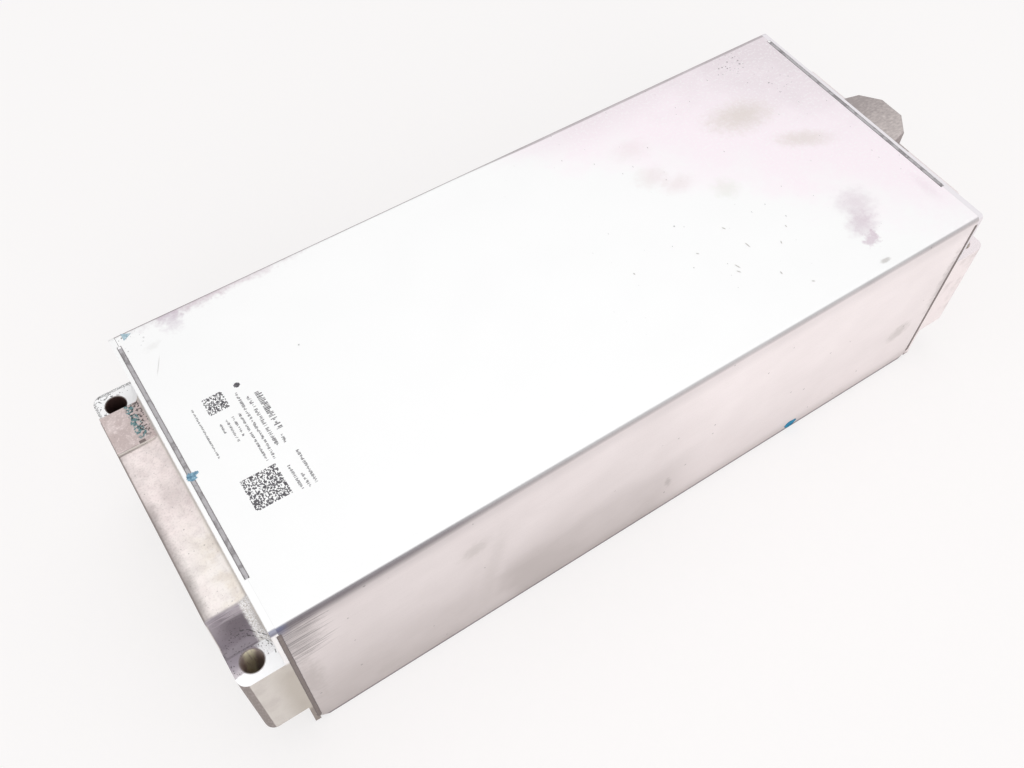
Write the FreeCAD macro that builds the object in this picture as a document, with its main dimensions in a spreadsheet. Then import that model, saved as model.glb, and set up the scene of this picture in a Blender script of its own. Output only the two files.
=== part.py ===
import FreeCAD, Part
import math
import os

import Sketcher

# Battery module: twelve pouch cells in a welded aluminium case.
# Frame: X runs along the case, Y across it, Z up from the face it rests on. The origin is that face's middle.
# The sheet dim holds the driving sizes in millimetres, and the sheet fit holds what follows from them.

PARALLEL = 2
SERIES = 6
CELLS = PARALLEL * SERIES
PADS = SERIES + 1
BLOCK_POCKETS = 4
PIN_COLUMNS = 6
LEFT, RIGHT = -1, 1

# Millimetres: sizes that count as equal, slack of a curved edge's bounds, first radius of a sketch's corners
SAME_SIZE = 0.02
BOUNDS_SLACK = 0.1
START_RADIUS = 10

SIZES = {
    # Pouch cell: sealed body, seal rim at both ends, folded seal along the top, one tab at each end
    "cell_length": 306.0,
    "cell_height": 97.0,
    "cell_thickness": 11.2,
    "cell_corner": 1.2,
    "seal_width": 5.0,
    "seal_thickness": 1.2,
    "seal_inset": 3.0,
    "fold_height": 2.2,
    "fold_thickness": 3.0,
    "tab_width": 46.0,
    "tab_thickness": 0.5,
    "tab_slack": 0.35,
    "tab_stub": 3.0,
    # What lies between and around the cells
    "pad_thickness": 1.5,
    "pad_inset": 2.0,
    "film_thickness": 0.4,
    "resin_thickness": 1.5,
    "side_clearance": 0.15,
    "top_room": 2.9,
    # Busbars and their carriers
    "carrier_gap": 0.5,
    "carrier_thickness": 3.0,
    "carrier_rim_clearance": 0.15,
    "busbar_thickness": 1.5,
    "busbar_margin": 2.0,
    "busbar_gap": 1.2,
    "end_room": 3.0,
    "insulator_thickness": 2.0,
    # Case
    "wall": 2.0,
    "edge_radius": 2.2,
    "wall_corner_cut": 4.0,
    "cover_thickness": 2.0,
    "plate_thickness": 6.0,
    "rim_thickness": 2.6,
    "register_clearance": 0.1,
    "register_corner": 1.5,
    "foot_radius": 1.0,
    # Lugs on both end plates
    "lug_reach": 18.0,
    "lug_width": 21.0,
    "seat_drop": 32.0,
    "lug_bottom": 19.0,
    "lug_corner": 4.5,
    "lug_edge": 2.0,
    "bolt_hole_radius": 4.5,
    "bolt_hole_chamfer": 0.3,
    "bolt_hole_inset": 8.2,
    "bolt_axis_out": 9.7,
    # Middle block between the lugs
    "block_drop": 16.0,
    "block_bottom": 22.0,
    "block_setback": 0.1,
    "seat_border": 0.2,
    "shoulder_run": 7.2,
    "toe_run": 3.2,
    "toe_rise": 1.6,
    "toe_sink": 0.6,
    "shoulder_radius": 2.0,
    "toe_radius": 5.0,
    "root_radius": 4.0,
    "block_edge": 1.5,
    # Weight-saving pockets in the left block
    "pocket_depth": 13.0,
    "pocket_rib": 4.0,
    "pocket_border": 5.0,
    "pocket_corner": 2.0,
    # Raised pad on the left block
    "pad_rise": 1.3,
    "pad_sink": 2.5,
    "pad_start": 31.0,
    "pad_setback": 0.3,
    "pad_end_inset": 0.2,
    "pad_edge": 0.5,
    # Half-octagonal boss on the right block
    "boss_drop": 2.0,
    "boss_sink": 4.0,
    "boss_half": 18.3,
    "boss_shoulder": 15.6,
    "boss_shoulder_out": 10.6,
    "boss_front": 6.6,
    "boss_edge": 1.2,
    # Bays in the right block, and the parts that stand in them
    "bay_floor": 4.0,
    "bay_headroom": 4.3,
    "bay_inner": 20.0,
    "bay_wall": 3.7,
    "bay_rib": 4.0,
    "bay_corner": 2.0,
    "bay_clearance": 0.3,
    "guard_recess": 4.3,
    "guard_wall": 2.6,
    "flange_width": 2.0,
    "flange_thickness": 1.5,
    "tongue_width": 20.0,
    "tongue_drop": 24.2,
    "tongue_clearance": 0.3,
    "bridge_height": 11.5,
    "thread_radius": 2.5,
    "nut_across_corners": 11.5,
    "nut_height": 5.0,
    "nut_clearance": 0.1,
    "bolt_clearance_radius": 3.3,
    "bolt_tip_room": 8.0,
    # Sense wiring
    "strip_width": 18.0,
    "strip_thickness": 0.3,
    "strip_gap": 0.2,
    "strip_drop_gap": 1.5,
    "header_width": 24.0,
    "header_height": 14.0,
    "header_wall": 1.8,
    "header_depth": 9.0,
    "header_setback": 4.3,
    "header_centre": 52.0,
    "pin_size": 0.8,
    "pin_pitch": 3.0,
    "pin_row_gap": 4.0,
    "pin_root": 2.0,
    "pin_length": 7.0,
    # Laser welds
    "weld_width": 2.0,
    "weld_depth": 0.9,
    "weld_crown": 0.12,
    "weld_far_margin": 6.5,
    "weld_near_margin": 23.0,
    "weld_side_low": 4.6,
    "weld_side_high": 4.5,
}

RULES = {
    # Across: the stack of cells and pads sets the width of the case
    "stack_half": f"({CELLS} * dim.cell_thickness + {PADS} * dim.pad_thickness) / 2",
    "film_half": "fit.stack_half + dim.film_thickness",
    "inner_half": "fit.film_half + dim.side_clearance",
    "half_width": "fit.inner_half + dim.wall",
    # Up: cover, resin, cells, their folded seals, room for the sense strip, film and channel
    "cell_low": "dim.cover_thickness + dim.resin_thickness",
    "cell_high": "fit.cell_low + dim.cell_height",
    "fold_top": "fit.cell_high + dim.fold_height",
    "film_low": "fit.fold_top + dim.top_room",
    "inner_top": "fit.film_low + dim.film_thickness",
    "height": "fit.inner_top + dim.wall",
    "tab_low": "fit.cell_low + (dim.cell_height - dim.tab_width) / 2",
    "tab_high": "fit.tab_low + dim.tab_width",
    "busbar_low": "fit.tab_low - dim.busbar_margin",
    "busbar_high": "fit.tab_high + dim.busbar_margin",
    "bridge_low": "fit.busbar_high + dim.busbar_gap",
    "bridge_high": "fit.bridge_low + dim.bridge_height",
    # Along: cell, carrier, busbar, tab stub, room, insulator and end plate
    "seal_end": "dim.cell_length / 2 + dim.seal_width",
    "carrier_in": "fit.seal_end + dim.carrier_gap",
    "busbar_in": "fit.carrier_in + dim.carrier_thickness",
    "busbar_out": "fit.busbar_in + dim.busbar_thickness",
    "tab_end": "fit.busbar_out + dim.tab_stub",
    "insulator_in": "fit.tab_end + dim.end_room",
    "plate_in": "fit.insulator_in + dim.insulator_thickness",
    "carrier_rim": "(dim.pad_thickness + dim.busbar_gap) / 2 - dim.carrier_rim_clearance",
    "half_length": "fit.plate_in + dim.plate_thickness",
    "joint": "fit.half_length - dim.rim_thickness",
    "lug_out": "fit.half_length + dim.lug_reach",
    "block_out": "fit.lug_out - dim.block_setback",
    "bolt_x": "fit.half_length + dim.bolt_axis_out",
    "bolt_y": "fit.half_width - dim.bolt_hole_inset",
    # Levels of the castings, below the case's top
    "lug_seat": "fit.height - dim.seat_drop",
    "block_top": "fit.height - dim.block_drop",
    # Shoulders of the middle block
    "seat_half": "fit.bolt_y - dim.bolt_hole_radius - dim.bolt_hole_chamfer",
    "toe_low_half": "fit.seat_half - dim.seat_border",
    "toe_high_half": "fit.toe_low_half - dim.toe_run",
    "block_half": "fit.toe_high_half - dim.shoulder_run",
    "toe_high": "fit.lug_seat + dim.toe_rise",
    "toe_low": "fit.lug_seat - dim.toe_sink",
    # Pockets of the left block
    "pocket_low": "dim.block_bottom + dim.pocket_border",
    "pocket_high": "fit.block_top - dim.pocket_border",
    "pocket_row": "2 * fit.block_half - 2 * dim.pocket_border",
    "pocket_width": f"(fit.pocket_row - {BLOCK_POCKETS - 1} * dim.pocket_rib) / {BLOCK_POCKETS}",
    # Terminal bays round the tongues, and the moulded core that fills each with a clearance
    "bay_outer": "fit.block_half - dim.bay_wall",
    "bay_middle": "(dim.bay_inner + fit.bay_outer) / 2",
    "bay_low": "dim.block_bottom + dim.bay_floor",
    "bay_high": "fit.bridge_low + dim.busbar_thickness + dim.bay_headroom",
    "header_bay_half": "dim.bay_inner - dim.bay_rib",
    "core_half": "(fit.bay_outer - dim.bay_inner) / 2 - dim.bay_clearance",
    "core_low": "fit.bay_low + dim.bay_clearance",
    "core_high": "fit.bay_high - dim.bay_clearance",
    "guard_front": "fit.block_out - dim.guard_recess",
    "tongue_out": "fit.guard_front - dim.guard_wall",
    "tongue_in": "fit.tongue_out - dim.busbar_thickness",
    "tongue_top": "fit.bridge_low + dim.busbar_thickness",
    "tongue_low": "fit.bridge_low - dim.tongue_drop",
    "bolt_z": "(fit.tongue_low + fit.bridge_low) / 2",
    "header_front": "fit.block_out - dim.header_setback",
    "header_floor": "fit.header_front - dim.header_depth",
    "strip_low": "fit.fold_top + dim.strip_gap",
    "strip_top": "fit.strip_low + dim.strip_thickness",
    "drop_in": "fit.insulator_in - dim.strip_drop_gap",
    "drop_out": "fit.drop_in + dim.strip_thickness",
    # Weld runs
    "cover_weld_end": "fit.joint - dim.wall_corner_cut - dim.weld_width",
}

doc = FreeCAD.newDocument("battery_module")
exported = []


def fill_sheet(name, entries):
    """Write the entries, one a row, each cell with its name as alias."""
    sheet = doc.addObject("Spreadsheet::Sheet", name)
    for row, (alias, content) in enumerate(entries.items(), start=1):
        sheet.set(f"A{row}", alias)
        sheet.set(f"B{row}", content)
        sheet.setAlias(f"B{row}", alias)
    return sheet


dim = fill_sheet("dim", {alias: str(size) for alias, size in SIZES.items()})
doc.recompute()
fit = fill_sheet("fit", {alias: "=" + rule.replace("fit.", "") for alias, rule in RULES.items()})
doc.recompute()


def bind(target, **formulas):
    """Tie properties of an object to formulas on the two sheets."""
    for name, formula in formulas.items():
        target.setExpression(name, formula)


def place(target, x="0", y="0", z="0"):
    """Tie an object's position to formulas."""
    bind(target, **{"Placement.Base.x": x, "Placement.Base.y": y, "Placement.Base.z": z})


def export_as(target, label):
    """Name a finished sub-part and note it for export."""
    target.Label = label
    exported.append(target)
    return target


def box(name, x, y, z):
    """Box between two formulas on each axis."""
    solid = doc.addObject("Part::Box", name)
    place(solid, x[0], y[0], z[0])
    bind(
        solid,
        Length=f"({x[1]}) - ({x[0]})",
        Width=f"({y[1]}) - ({y[0]})",
        Height=f"({z[1]}) - ({z[0]})",
    )
    return solid


def fused(name, solids):
    """Fuse solids into one."""
    union = doc.addObject("Part::MultiFuse", name)
    union.Shapes = solids
    union.Refine = True
    return union


def cut(name, base, tool):
    """Take one solid away from another."""
    difference = doc.addObject("Part::Cut", name)
    difference.Base = base
    difference.Tool = tool
    return difference


def span(centre, width):
    """Two formulas, half a width either side of a centre."""
    return f"({centre}) - ({width}) / 2", f"({centre}) + ({width}) / 2"


def rect(across, up):
    """Corners of a rectangle from its two spans."""
    return [(across[0], up[0]), (across[1], up[0]), (across[1], up[1]), (across[0], up[1])]


def new_sketch(body, name, role, offset):
    """Sketch on one of the body's own planes, moved along its normal by a formula."""
    sketch = body.newObject("Sketcher::SketchObject", name)
    plane = next(feature for feature in body.Origin.OriginFeatures if feature.Role == role)
    sketch.AttachmentSupport = [(plane, "")]
    sketch.MapMode = "FlatFace"
    bind(sketch, **{"AttachmentOffset.Base.z": offset})
    return sketch


def pin_point(sketch, geometry, position, tag, point):
    """Fix a sketch point at two formulas, measured from the sketch's origin."""
    for kind, axis, formula in (("DistanceX", "x", point[0]), ("DistanceY", "y", point[1])):
        start = sketch.getPoint(geometry, position)
        distance = Sketcher.Constraint(kind, -1, 1, geometry, position, getattr(start, axis))
        index = sketch.addConstraint(distance)
        sketch.renameConstraint(index, f"{tag}_{axis}")
        sketch.setExpression(f"Constraints.{tag}_{axis}", formula)


def loops_sketch(body, name, role, loops, offset="0"):
    """Sketch of closed loops of straight lines, each corner given by two formulas."""
    sketch = new_sketch(body, name, role, offset)
    for loop_number, corners in enumerate(loops):
        count = len(corners)
        start = [FreeCAD.Vector(START_RADIUS + loop_number, 0, 0)]
        turn = FreeCAD.Rotation(FreeCAD.Vector(0, 0, 1), 360 / count)
        while len(start) < count:
            start.append(turn.multVec(start[-1]))
        first = sketch.GeometryCount
        for i in range(count):
            sketch.addGeometry(Part.LineSegment(start[i], start[(i + 1) % count]), False)
        for i in range(count):
            follower = first + (i + 1) % count
            sketch.addConstraint(Sketcher.Constraint("Coincident", first + i, 2, follower, 1))
            pin_point(sketch, first + i, 1, f"loop{loop_number}_corner{i}", corners[i])
    return sketch


def circles_sketch(body, name, role, centres, radius, offset="0"):
    """Sketch of equal circles at centres given by formulas."""
    sketch = new_sketch(body, name, role, offset)
    for i, centre in enumerate(centres):
        ring = Part.Circle(FreeCAD.Vector(START_RADIUS * i, 0, 0), FreeCAD.Vector(0, 0, 1), 1)
        geometry = sketch.addGeometry(ring, False)
        pin_point(sketch, geometry, 3, f"circle{i}", centre)
        index = sketch.addConstraint(Sketcher.Constraint("Radius", geometry, 1.0))
        sketch.renameConstraint(index, f"radius{i}")
        sketch.setExpression(f"Constraints.radius{i}", radius)
    return sketch


def sketch_feature(body, kind, sketch, length, reverse=False, midplane=False):
    """Pad or pocket of a sketch by a formula's length."""
    feature = body.newObject(f"PartDesign::{kind}", f"{sketch.Name}_{kind.lower()}")
    feature.Profile = sketch
    bind(feature, Length=length)
    feature.Reversed = reverse
    feature.Midplane = midplane
    sketch.Visibility = False
    doc.recompute()
    return feature


def dress(body, kind, name, size, formula, chosen):
    """Fillet or chamfer the edges of the body's last feature that a test chooses."""
    base = body.Tip
    names = [f"Edge{i}" for i, edge in enumerate(base.Shape.Edges, start=1) if chosen(edge)]
    if not names:
        raise ValueError(f"{name}: no edge chosen")
    feature = body.newObject(f"PartDesign::{kind}", name)
    feature.Base = (base, names)
    bind(feature, **{size: formula})
    doc.recompute()
    if feature.Shape.isNull() or not feature.Shape.isValid():
        raise ValueError(f"{name}: the edges could not be dressed")
    return feature


def near(a, b):
    """True where two sizes agree closely enough to be the same edge."""
    return abs(a - b) < SAME_SIZE


def runs_along(edge, axis):
    """True for a straight edge along an axis."""
    ends = edge.Vertexes
    if len(ends) != 2:
        return False
    return near(abs(getattr(ends[1].Point - ends[0].Point, axis)), edge.Length)


def at(edge, **places):
    """True where the middle of an edge is at the given places."""
    middle = edge.valueAt((edge.FirstParameter + edge.LastParameter) / 2)
    return all(near(getattr(middle, axis), value) for axis, value in places.items())


def in_plane(edge, axis, value):
    """True where a whole edge lies in a plane across an axis."""
    bounds = edge.BoundBox
    low = getattr(bounds, f"{axis.upper()}Min")
    high = getattr(bounds, f"{axis.upper()}Max")
    return near(low, value) and near(high, value)


def cell_centre(index):
    """Formula for the middle of a cell across the stack."""
    pads_before = index // PARALLEL + 1
    return f"-fit.stack_half + {pads_before} * dim.pad_thickness + {index + 0.5} * dim.cell_thickness"


def symmetric(half):
    """Span of a half size either side of zero."""
    return f"-({half})", half


def beyond(side, low, high):
    """Span between two distances from the middle, towards one end of the case."""
    return (low, high) if side == RIGHT else (f"-({high})", f"-({low})")


def pouch_cell(index):
    """Sealed pouch with its seal rims, folded top seal and a tab at each end."""
    centre = cell_centre(index)
    name = f"cell_{index + 1:02d}"
    body = box(
        f"{name}_body",
        symmetric("dim.cell_length / 2"),
        span(centre, "dim.cell_thickness"),
        ("fit.cell_low", "fit.cell_high"),
    )
    doc.recompute()
    softened = doc.addObject("Part::Chamfer", f"{name}_softened")
    softened.Base = body
    corner = dim.get("cell_corner")
    softened.Edges = [(i, corner, corner) for i in range(1, len(body.Shape.Edges) + 1)]
    seal = box(
        f"{name}_seal",
        symmetric("fit.seal_end"),
        span(centre, "dim.seal_thickness"),
        ("fit.cell_low + dim.seal_inset", "fit.cell_high - dim.seal_inset"),
    )
    fold = box(
        f"{name}_fold",
        symmetric("dim.cell_length / 2 - dim.seal_width"),
        span(centre, "dim.fold_thickness"),
        ("fit.cell_high - dim.cell_corner", "fit.fold_top"),
    )
    tabs = box(
        f"{name}_tabs",
        symmetric("fit.tab_end"),
        span(centre, "dim.tab_thickness"),
        ("fit.tab_low", "fit.tab_high"),
    )
    export_as(fused(name, [softened, seal, fold, tabs]), f"pouch_{name}")


def compression_pad(index):
    """Foam pad before a pair of cells, or after the last pair."""
    start = f"-fit.stack_half + {index} * dim.pad_thickness + {index * PARALLEL} * dim.cell_thickness"
    pad = box(
        f"pad_{index + 1:02d}",
        symmetric("dim.cell_length / 2 - dim.seal_width"),
        (start, f"{start} + dim.pad_thickness"),
        ("fit.cell_low + dim.pad_inset", "fit.cell_high - dim.pad_inset"),
    )
    export_as(pad, f"compression_pad_{index + 1:02d}")


def channel_loop(half, low, top, thickness):
    """Corners of a channel section that is open downwards."""
    return [
        (f"-({half})", low),
        (f"-({half})", top),
        (half, top),
        (half, low),
        (f"({half}) - ({thickness})", low),
        (f"({half}) - ({thickness})", f"({top}) - ({thickness})"),
        (f"-({half}) + ({thickness})", f"({top}) - ({thickness})"),
        (f"-({half}) + ({thickness})", low),
    ]


def insulating_film():
    """Film folded over the top and both sides of the stack."""
    body = doc.addObject("PartDesign::Body", "film")
    loop = channel_loop("fit.film_half", "dim.cover_thickness", "fit.inner_top", "dim.film_thickness")
    section = loops_sketch(body, "film_section", "YZ_Plane", [loop])
    sketch_feature(body, "Pad", section, "2 * fit.insulator_in", midplane=True)
    export_as(body, "insulating_film")


def thermal_resin():
    """Heat-conducting filler between the cells and the cover."""
    resin = box(
        "resin",
        symmetric("dim.cell_length / 2"),
        symmetric("fit.stack_half"),
        ("dim.cover_thickness", "fit.cell_low"),
    )
    export_as(resin, "thermal_resin")


def busbar_carrier(side):
    """Moulded frame with a slot for each tab and a rim on three sides."""
    name = "carrier_left" if side == LEFT else "carrier_right"
    body = doc.addObject("PartDesign::Body", name)
    outer = rect(symmetric("fit.stack_half"), ("fit.cell_low", "fit.fold_top"))
    slots = [tab_slot(index) for index in range(CELLS)]
    web = loops_sketch(body, f"{name}_web", "YZ_Plane", [outer] + slots, f"{side} * fit.carrier_in")
    sketch_feature(body, "Pad", web, "dim.carrier_thickness", reverse=side == LEFT)
    rim_loop = [
        ("-fit.stack_half", "fit.cell_low"),
        ("fit.stack_half", "fit.cell_low"),
        ("fit.stack_half", "fit.fold_top"),
        ("fit.stack_half - fit.carrier_rim", "fit.fold_top"),
        ("fit.stack_half - fit.carrier_rim", "fit.cell_low + fit.carrier_rim"),
        ("-fit.stack_half + fit.carrier_rim", "fit.cell_low + fit.carrier_rim"),
        ("-fit.stack_half + fit.carrier_rim", "fit.fold_top"),
        ("-fit.stack_half", "fit.fold_top"),
    ]
    rim = loops_sketch(body, f"{name}_rim", "YZ_Plane", [rim_loop], f"{side} * fit.carrier_in")
    sketch_feature(body, "Pad", rim, "fit.insulator_in - fit.carrier_in", reverse=side == LEFT)
    export_as(body, f"busbar_{name}")


def tab_slot(index):
    """Corners of the slot that one cell's tab passes through."""
    width = "dim.tab_thickness + 2 * dim.tab_slack"
    return rect(
        span(cell_centre(index), width),
        ("fit.tab_low - dim.tab_slack", "fit.tab_high + dim.tab_slack"),
    )


def group_span(first, last):
    """Span across the stack of a busbar that takes the cells first to last."""
    half_pitch = "(dim.cell_thickness + dim.pad_thickness - dim.busbar_gap) / 2"
    return f"{cell_centre(first)} - {half_pitch}", f"{cell_centre(last)} + {half_pitch}"


def series_busbar(side, number, first):
    """Flat link over two groups of parallel cells."""
    end = "left" if side == LEFT else "right"
    name = f"busbar_{end}_{number}"
    cells = range(first, first + 2 * PARALLEL)
    body = doc.addObject("PartDesign::Body", name)
    outer = rect(group_span(cells[0], cells[-1]), ("fit.busbar_low", "fit.busbar_high"))
    slots = [tab_slot(index) for index in cells]
    plate = loops_sketch(body, f"{name}_plate", "YZ_Plane", [outer] + slots, f"{side} * fit.busbar_in")
    sketch_feature(body, "Pad", plate, "dim.busbar_thickness", reverse=side == LEFT)
    export_as(body, name)


def terminal_busbar(label, hand):
    """End link over one group, bridged over its neighbour and folded out to a tongue with a bolt hole."""
    name = f"terminal_busbar_{label}"
    cells = range(PARALLEL) if hand < 0 else range(CELLS - PARALLEL, CELLS)
    low, high = group_span(cells[0], cells[-1])
    outside, inside = (low, high) if hand < 0 else (high, low)
    tongue = span(f"{hand} * fit.bay_middle", "dim.tongue_width")
    tongue_end = tongue[1] if hand < 0 else tongue[0]
    body = doc.addObject("PartDesign::Body", name)
    outer = [
        (outside, "fit.busbar_low"),
        (inside, "fit.busbar_low"),
        (inside, "fit.bridge_low"),
        (tongue_end, "fit.bridge_low"),
        (tongue_end, "fit.bridge_high"),
        (outside, "fit.bridge_high"),
    ]
    slots = [tab_slot(index) for index in cells]
    plate = loops_sketch(body, f"{name}_plate", "YZ_Plane", [outer] + slots, "fit.busbar_in")
    sketch_feature(body, "Pad", plate, "dim.busbar_thickness")
    leg_loop = rect(tongue, ("fit.bridge_low", "fit.tongue_top"))
    leg = loops_sketch(body, f"{name}_leg", "YZ_Plane", [leg_loop], "fit.busbar_in")
    sketch_feature(body, "Pad", leg, "fit.tongue_out - fit.busbar_in")
    front_loop = rect(tongue, ("fit.tongue_low", "fit.tongue_top"))
    front = loops_sketch(body, f"{name}_front", "YZ_Plane", [front_loop], "fit.tongue_in")
    sketch_feature(body, "Pad", front, "dim.busbar_thickness")
    hole = circles_sketch(
        body,
        f"{name}_hole",
        "YZ_Plane",
        [(f"{hand} * fit.bay_middle", "fit.bolt_z")],
        "dim.bolt_clearance_radius",
        "fit.tongue_out",
    )
    sketch_feature(body, "Pocket", hole, "dim.busbar_thickness")
    export_as(body, name)


def terminal_block(label, hand):
    """Moulded insulator that fills a bay: flange, slot for the leg, guard round the tongue, nut pocket."""
    name = f"terminal_block_{label}"
    middle = f"{hand} * fit.bay_middle"
    body = doc.addObject("PartDesign::Body", name)
    core_loop = rect(span(middle, "2 * fit.core_half"), ("fit.core_low", "fit.core_high"))
    core = loops_sketch(body, f"{name}_core", "YZ_Plane", [core_loop], "fit.guard_front")
    sketch_feature(body, "Pad", core, "fit.guard_front - fit.insulator_in", reverse=True)
    centre, half = hand * fit.get("bay_middle"), fit.get("core_half")
    sides = (centre - half, centre + half)
    levels = (fit.get("core_low"), fit.get("core_high"))
    dress(
        body,
        "Fillet",
        f"{name}_corners",
        "Radius",
        "dim.bay_corner",
        lambda edge: runs_along(edge, "x") and any(at(edge, y=y, z=z) for y in sides for z in levels),
    )
    flange_loop = rect(
        span(middle, "2 * fit.core_half + 2 * dim.flange_width"),
        ("fit.core_low - dim.flange_width", "fit.core_high + dim.flange_width"),
    )
    flange = loops_sketch(body, f"{name}_flange", "YZ_Plane", [flange_loop], "fit.insulator_in")
    sketch_feature(body, "Pad", flange, "dim.flange_thickness", reverse=True)
    tongue_room = span(middle, "dim.tongue_width + 2 * dim.tongue_clearance")
    room_top = "fit.tongue_top + dim.tongue_clearance"
    guard_loop = rect(tongue_room, ("fit.tongue_low - dim.tongue_clearance", room_top))
    guard = loops_sketch(body, f"{name}_guard", "YZ_Plane", [guard_loop], "fit.guard_front")
    sketch_feature(body, "Pocket", guard, "fit.guard_front - fit.tongue_in")
    slot_loop = rect(tongue_room, ("fit.bridge_low - dim.tongue_clearance", room_top))
    slot = loops_sketch(body, f"{name}_slot", "YZ_Plane", [slot_loop], "fit.guard_front")
    sketch_feature(body, "Pocket", slot, "fit.guard_front - fit.tab_end")
    hexagon = nut_loop(hand, "dim.nut_across_corners / 2 + dim.nut_clearance")
    nut_pocket = loops_sketch(body, f"{name}_nut_pocket", "YZ_Plane", [hexagon], "fit.tongue_in")
    sketch_feature(body, "Pocket", nut_pocket, "dim.nut_height + dim.nut_clearance")
    tip = circles_sketch(
        body,
        f"{name}_tip_room",
        "YZ_Plane",
        [(middle, "fit.bolt_z")],
        "dim.bolt_clearance_radius",
        "fit.tongue_in",
    )
    sketch_feature(body, "Pocket", tip, "dim.nut_height + dim.bolt_tip_room")
    export_as(body, name)


def nut_loop(hand, corner_radius):
    """Corners of a hexagon round a terminal's bolt axis."""
    corners = []
    for i in range(6):
        across = f"{hand} * fit.bay_middle + ({corner_radius}) * cos({60 * i})"
        corners.append((across, f"fit.bolt_z + ({corner_radius}) * sin({60 * i})"))
    return corners


def terminal_nuts():
    """Two equal hexagon nuts behind the tongues."""
    nuts = []
    for hand in (-1, 1):
        name = "nut_negative" if hand < 0 else "nut_positive"
        body = doc.addObject("PartDesign::Body", name)
        hexagon = nut_loop(hand, "dim.nut_across_corners / 2")
        blank = loops_sketch(body, f"{name}_blank", "YZ_Plane", [hexagon], "fit.tongue_in")
        sketch_feature(body, "Pad", blank, "dim.nut_height", reverse=True)
        thread = circles_sketch(
            body,
            f"{name}_thread",
            "YZ_Plane",
            [(f"{hand} * fit.bay_middle", "fit.bolt_z")],
            "dim.thread_radius",
            "fit.tongue_in",
        )
        sketch_feature(body, "Pocket", thread, "dim.nut_height")
        nuts.append(body)
    pair = doc.addObject("Part::Compound", "nut_pair")
    pair.Links = nuts
    export_as(pair, "terminal_nuts")


def bay_loops():
    """Loops of the two terminal bays."""
    up = ("fit.bay_low", "fit.bay_high")
    return [rect(("dim.bay_inner", "fit.bay_outer"), up), rect(("-fit.bay_outer", "-dim.bay_inner"), up)]


def header_loop():
    """Loop of the header's window, with a clearance all round the header."""
    return rect(
        symmetric("dim.header_width / 2 + dim.bay_clearance"),
        span("dim.header_centre", "dim.header_height + 2 * dim.bay_clearance"),
    )


def end_insulator(side):
    """Plastic sheet between the busbars and the casting."""
    name = "end_insulator_left" if side == LEFT else "end_insulator_right"
    body = doc.addObject("PartDesign::Body", name)
    outer = rect(symmetric("fit.stack_half"), ("fit.cell_low", "fit.film_low - dim.strip_gap"))
    loops = [outer]
    if side == RIGHT:
        loops += bay_loops() + [header_loop()]
    sheet = loops_sketch(body, f"{name}_sheet", "YZ_Plane", loops, f"{side} * fit.insulator_in")
    sketch_feature(body, "Pad", sheet, "dim.insulator_thickness", reverse=side == LEFT)
    export_as(body, name)


def sense_strip():
    """Flat strip along the tops of the cells, with a drop in front of the right busbars."""
    along = box(
        "strip_along",
        ("-fit.busbar_in", "fit.drop_out"),
        symmetric("dim.strip_width / 2"),
        ("fit.strip_low", "fit.strip_top"),
    )
    drop = box(
        "strip_drop",
        ("fit.drop_in", "fit.drop_out"),
        symmetric("dim.strip_width / 2"),
        ("dim.header_centre", "fit.strip_top"),
    )
    export_as(fused("strip", [along, drop]), "sense_strip")


def sense_header():
    """Header with a shroud round two rows of pins."""
    name = "sense_connector"
    up = span("dim.header_centre", "dim.header_height")
    inner_up = span("dim.header_centre", "dim.header_height - 2 * dim.header_wall")
    body = doc.addObject("PartDesign::Body", name)
    outer = rect(symmetric("dim.header_width / 2"), up)
    core = loops_sketch(body, f"{name}_core", "YZ_Plane", [outer], "fit.header_front")
    sketch_feature(body, "Pad", core, "fit.header_front - fit.drop_out", reverse=True)
    inner = rect(symmetric("dim.header_width / 2 - dim.header_wall"), inner_up)
    socket = loops_sketch(body, f"{name}_socket", "YZ_Plane", [inner], "fit.header_front")
    sketch_feature(body, "Pocket", socket, "dim.header_depth")
    holes = [rect(*spans) for spans in pin_spans()]
    seats = loops_sketch(body, f"{name}_seats", "YZ_Plane", holes, "fit.header_floor")
    sketch_feature(body, "Pocket", seats, "dim.pin_root")
    export_as(body, name)


def pin_spans():
    """Spans across and up of every pin, two rows of columns."""
    spans = []
    for column in range(PIN_COLUMNS):
        across = f"{column - (PIN_COLUMNS - 1) / 2} * dim.pin_pitch"
        for row in (-1, 1):
            up = f"dim.header_centre + {row} * dim.pin_row_gap / 2"
            spans.append((span(across, "dim.pin_size"), span(up, "dim.pin_size")))
    return spans


def sense_pins():
    """Two rows of square pins, seated in the header's floor."""
    along = ("fit.header_floor - dim.pin_root", "fit.header_floor + dim.pin_length")
    pins = []
    for number, (across, up) in enumerate(pin_spans(), start=1):
        pins.append(box(f"pin_{number}", along, across, up))
    group = doc.addObject("Part::Compound", "pin_group")
    group.Links = pins
    export_as(group, "sense_pins")


def weld_section(centre, surface, inward):
    """Section of a weld run: a sunk root and a low crown, across a joint and out of a surface."""
    half = "dim.weld_width / 2"
    root = f"{surface} + {inward} * dim.weld_depth"
    crown = f"{surface} - {inward} * dim.weld_crown"
    return [
        (f"{centre} - {half}", surface),
        (f"{centre} - {half} / 2", root),
        (f"{centre} + {half} / 2", root),
        (f"{centre} + {half}", surface),
        (f"{centre} + {half} / 2", crown),
        (f"{centre} - {half} / 2", crown),
    ]


def weld_run(name, role, loop, start, length, reverse=False):
    """One straight run of weld metal."""
    body = doc.addObject("PartDesign::Body", name)
    section = loops_sketch(body, f"{name}_section", role, [loop], start)
    sketch_feature(body, "Pad", section, length, reverse=reverse)
    return body


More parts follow.
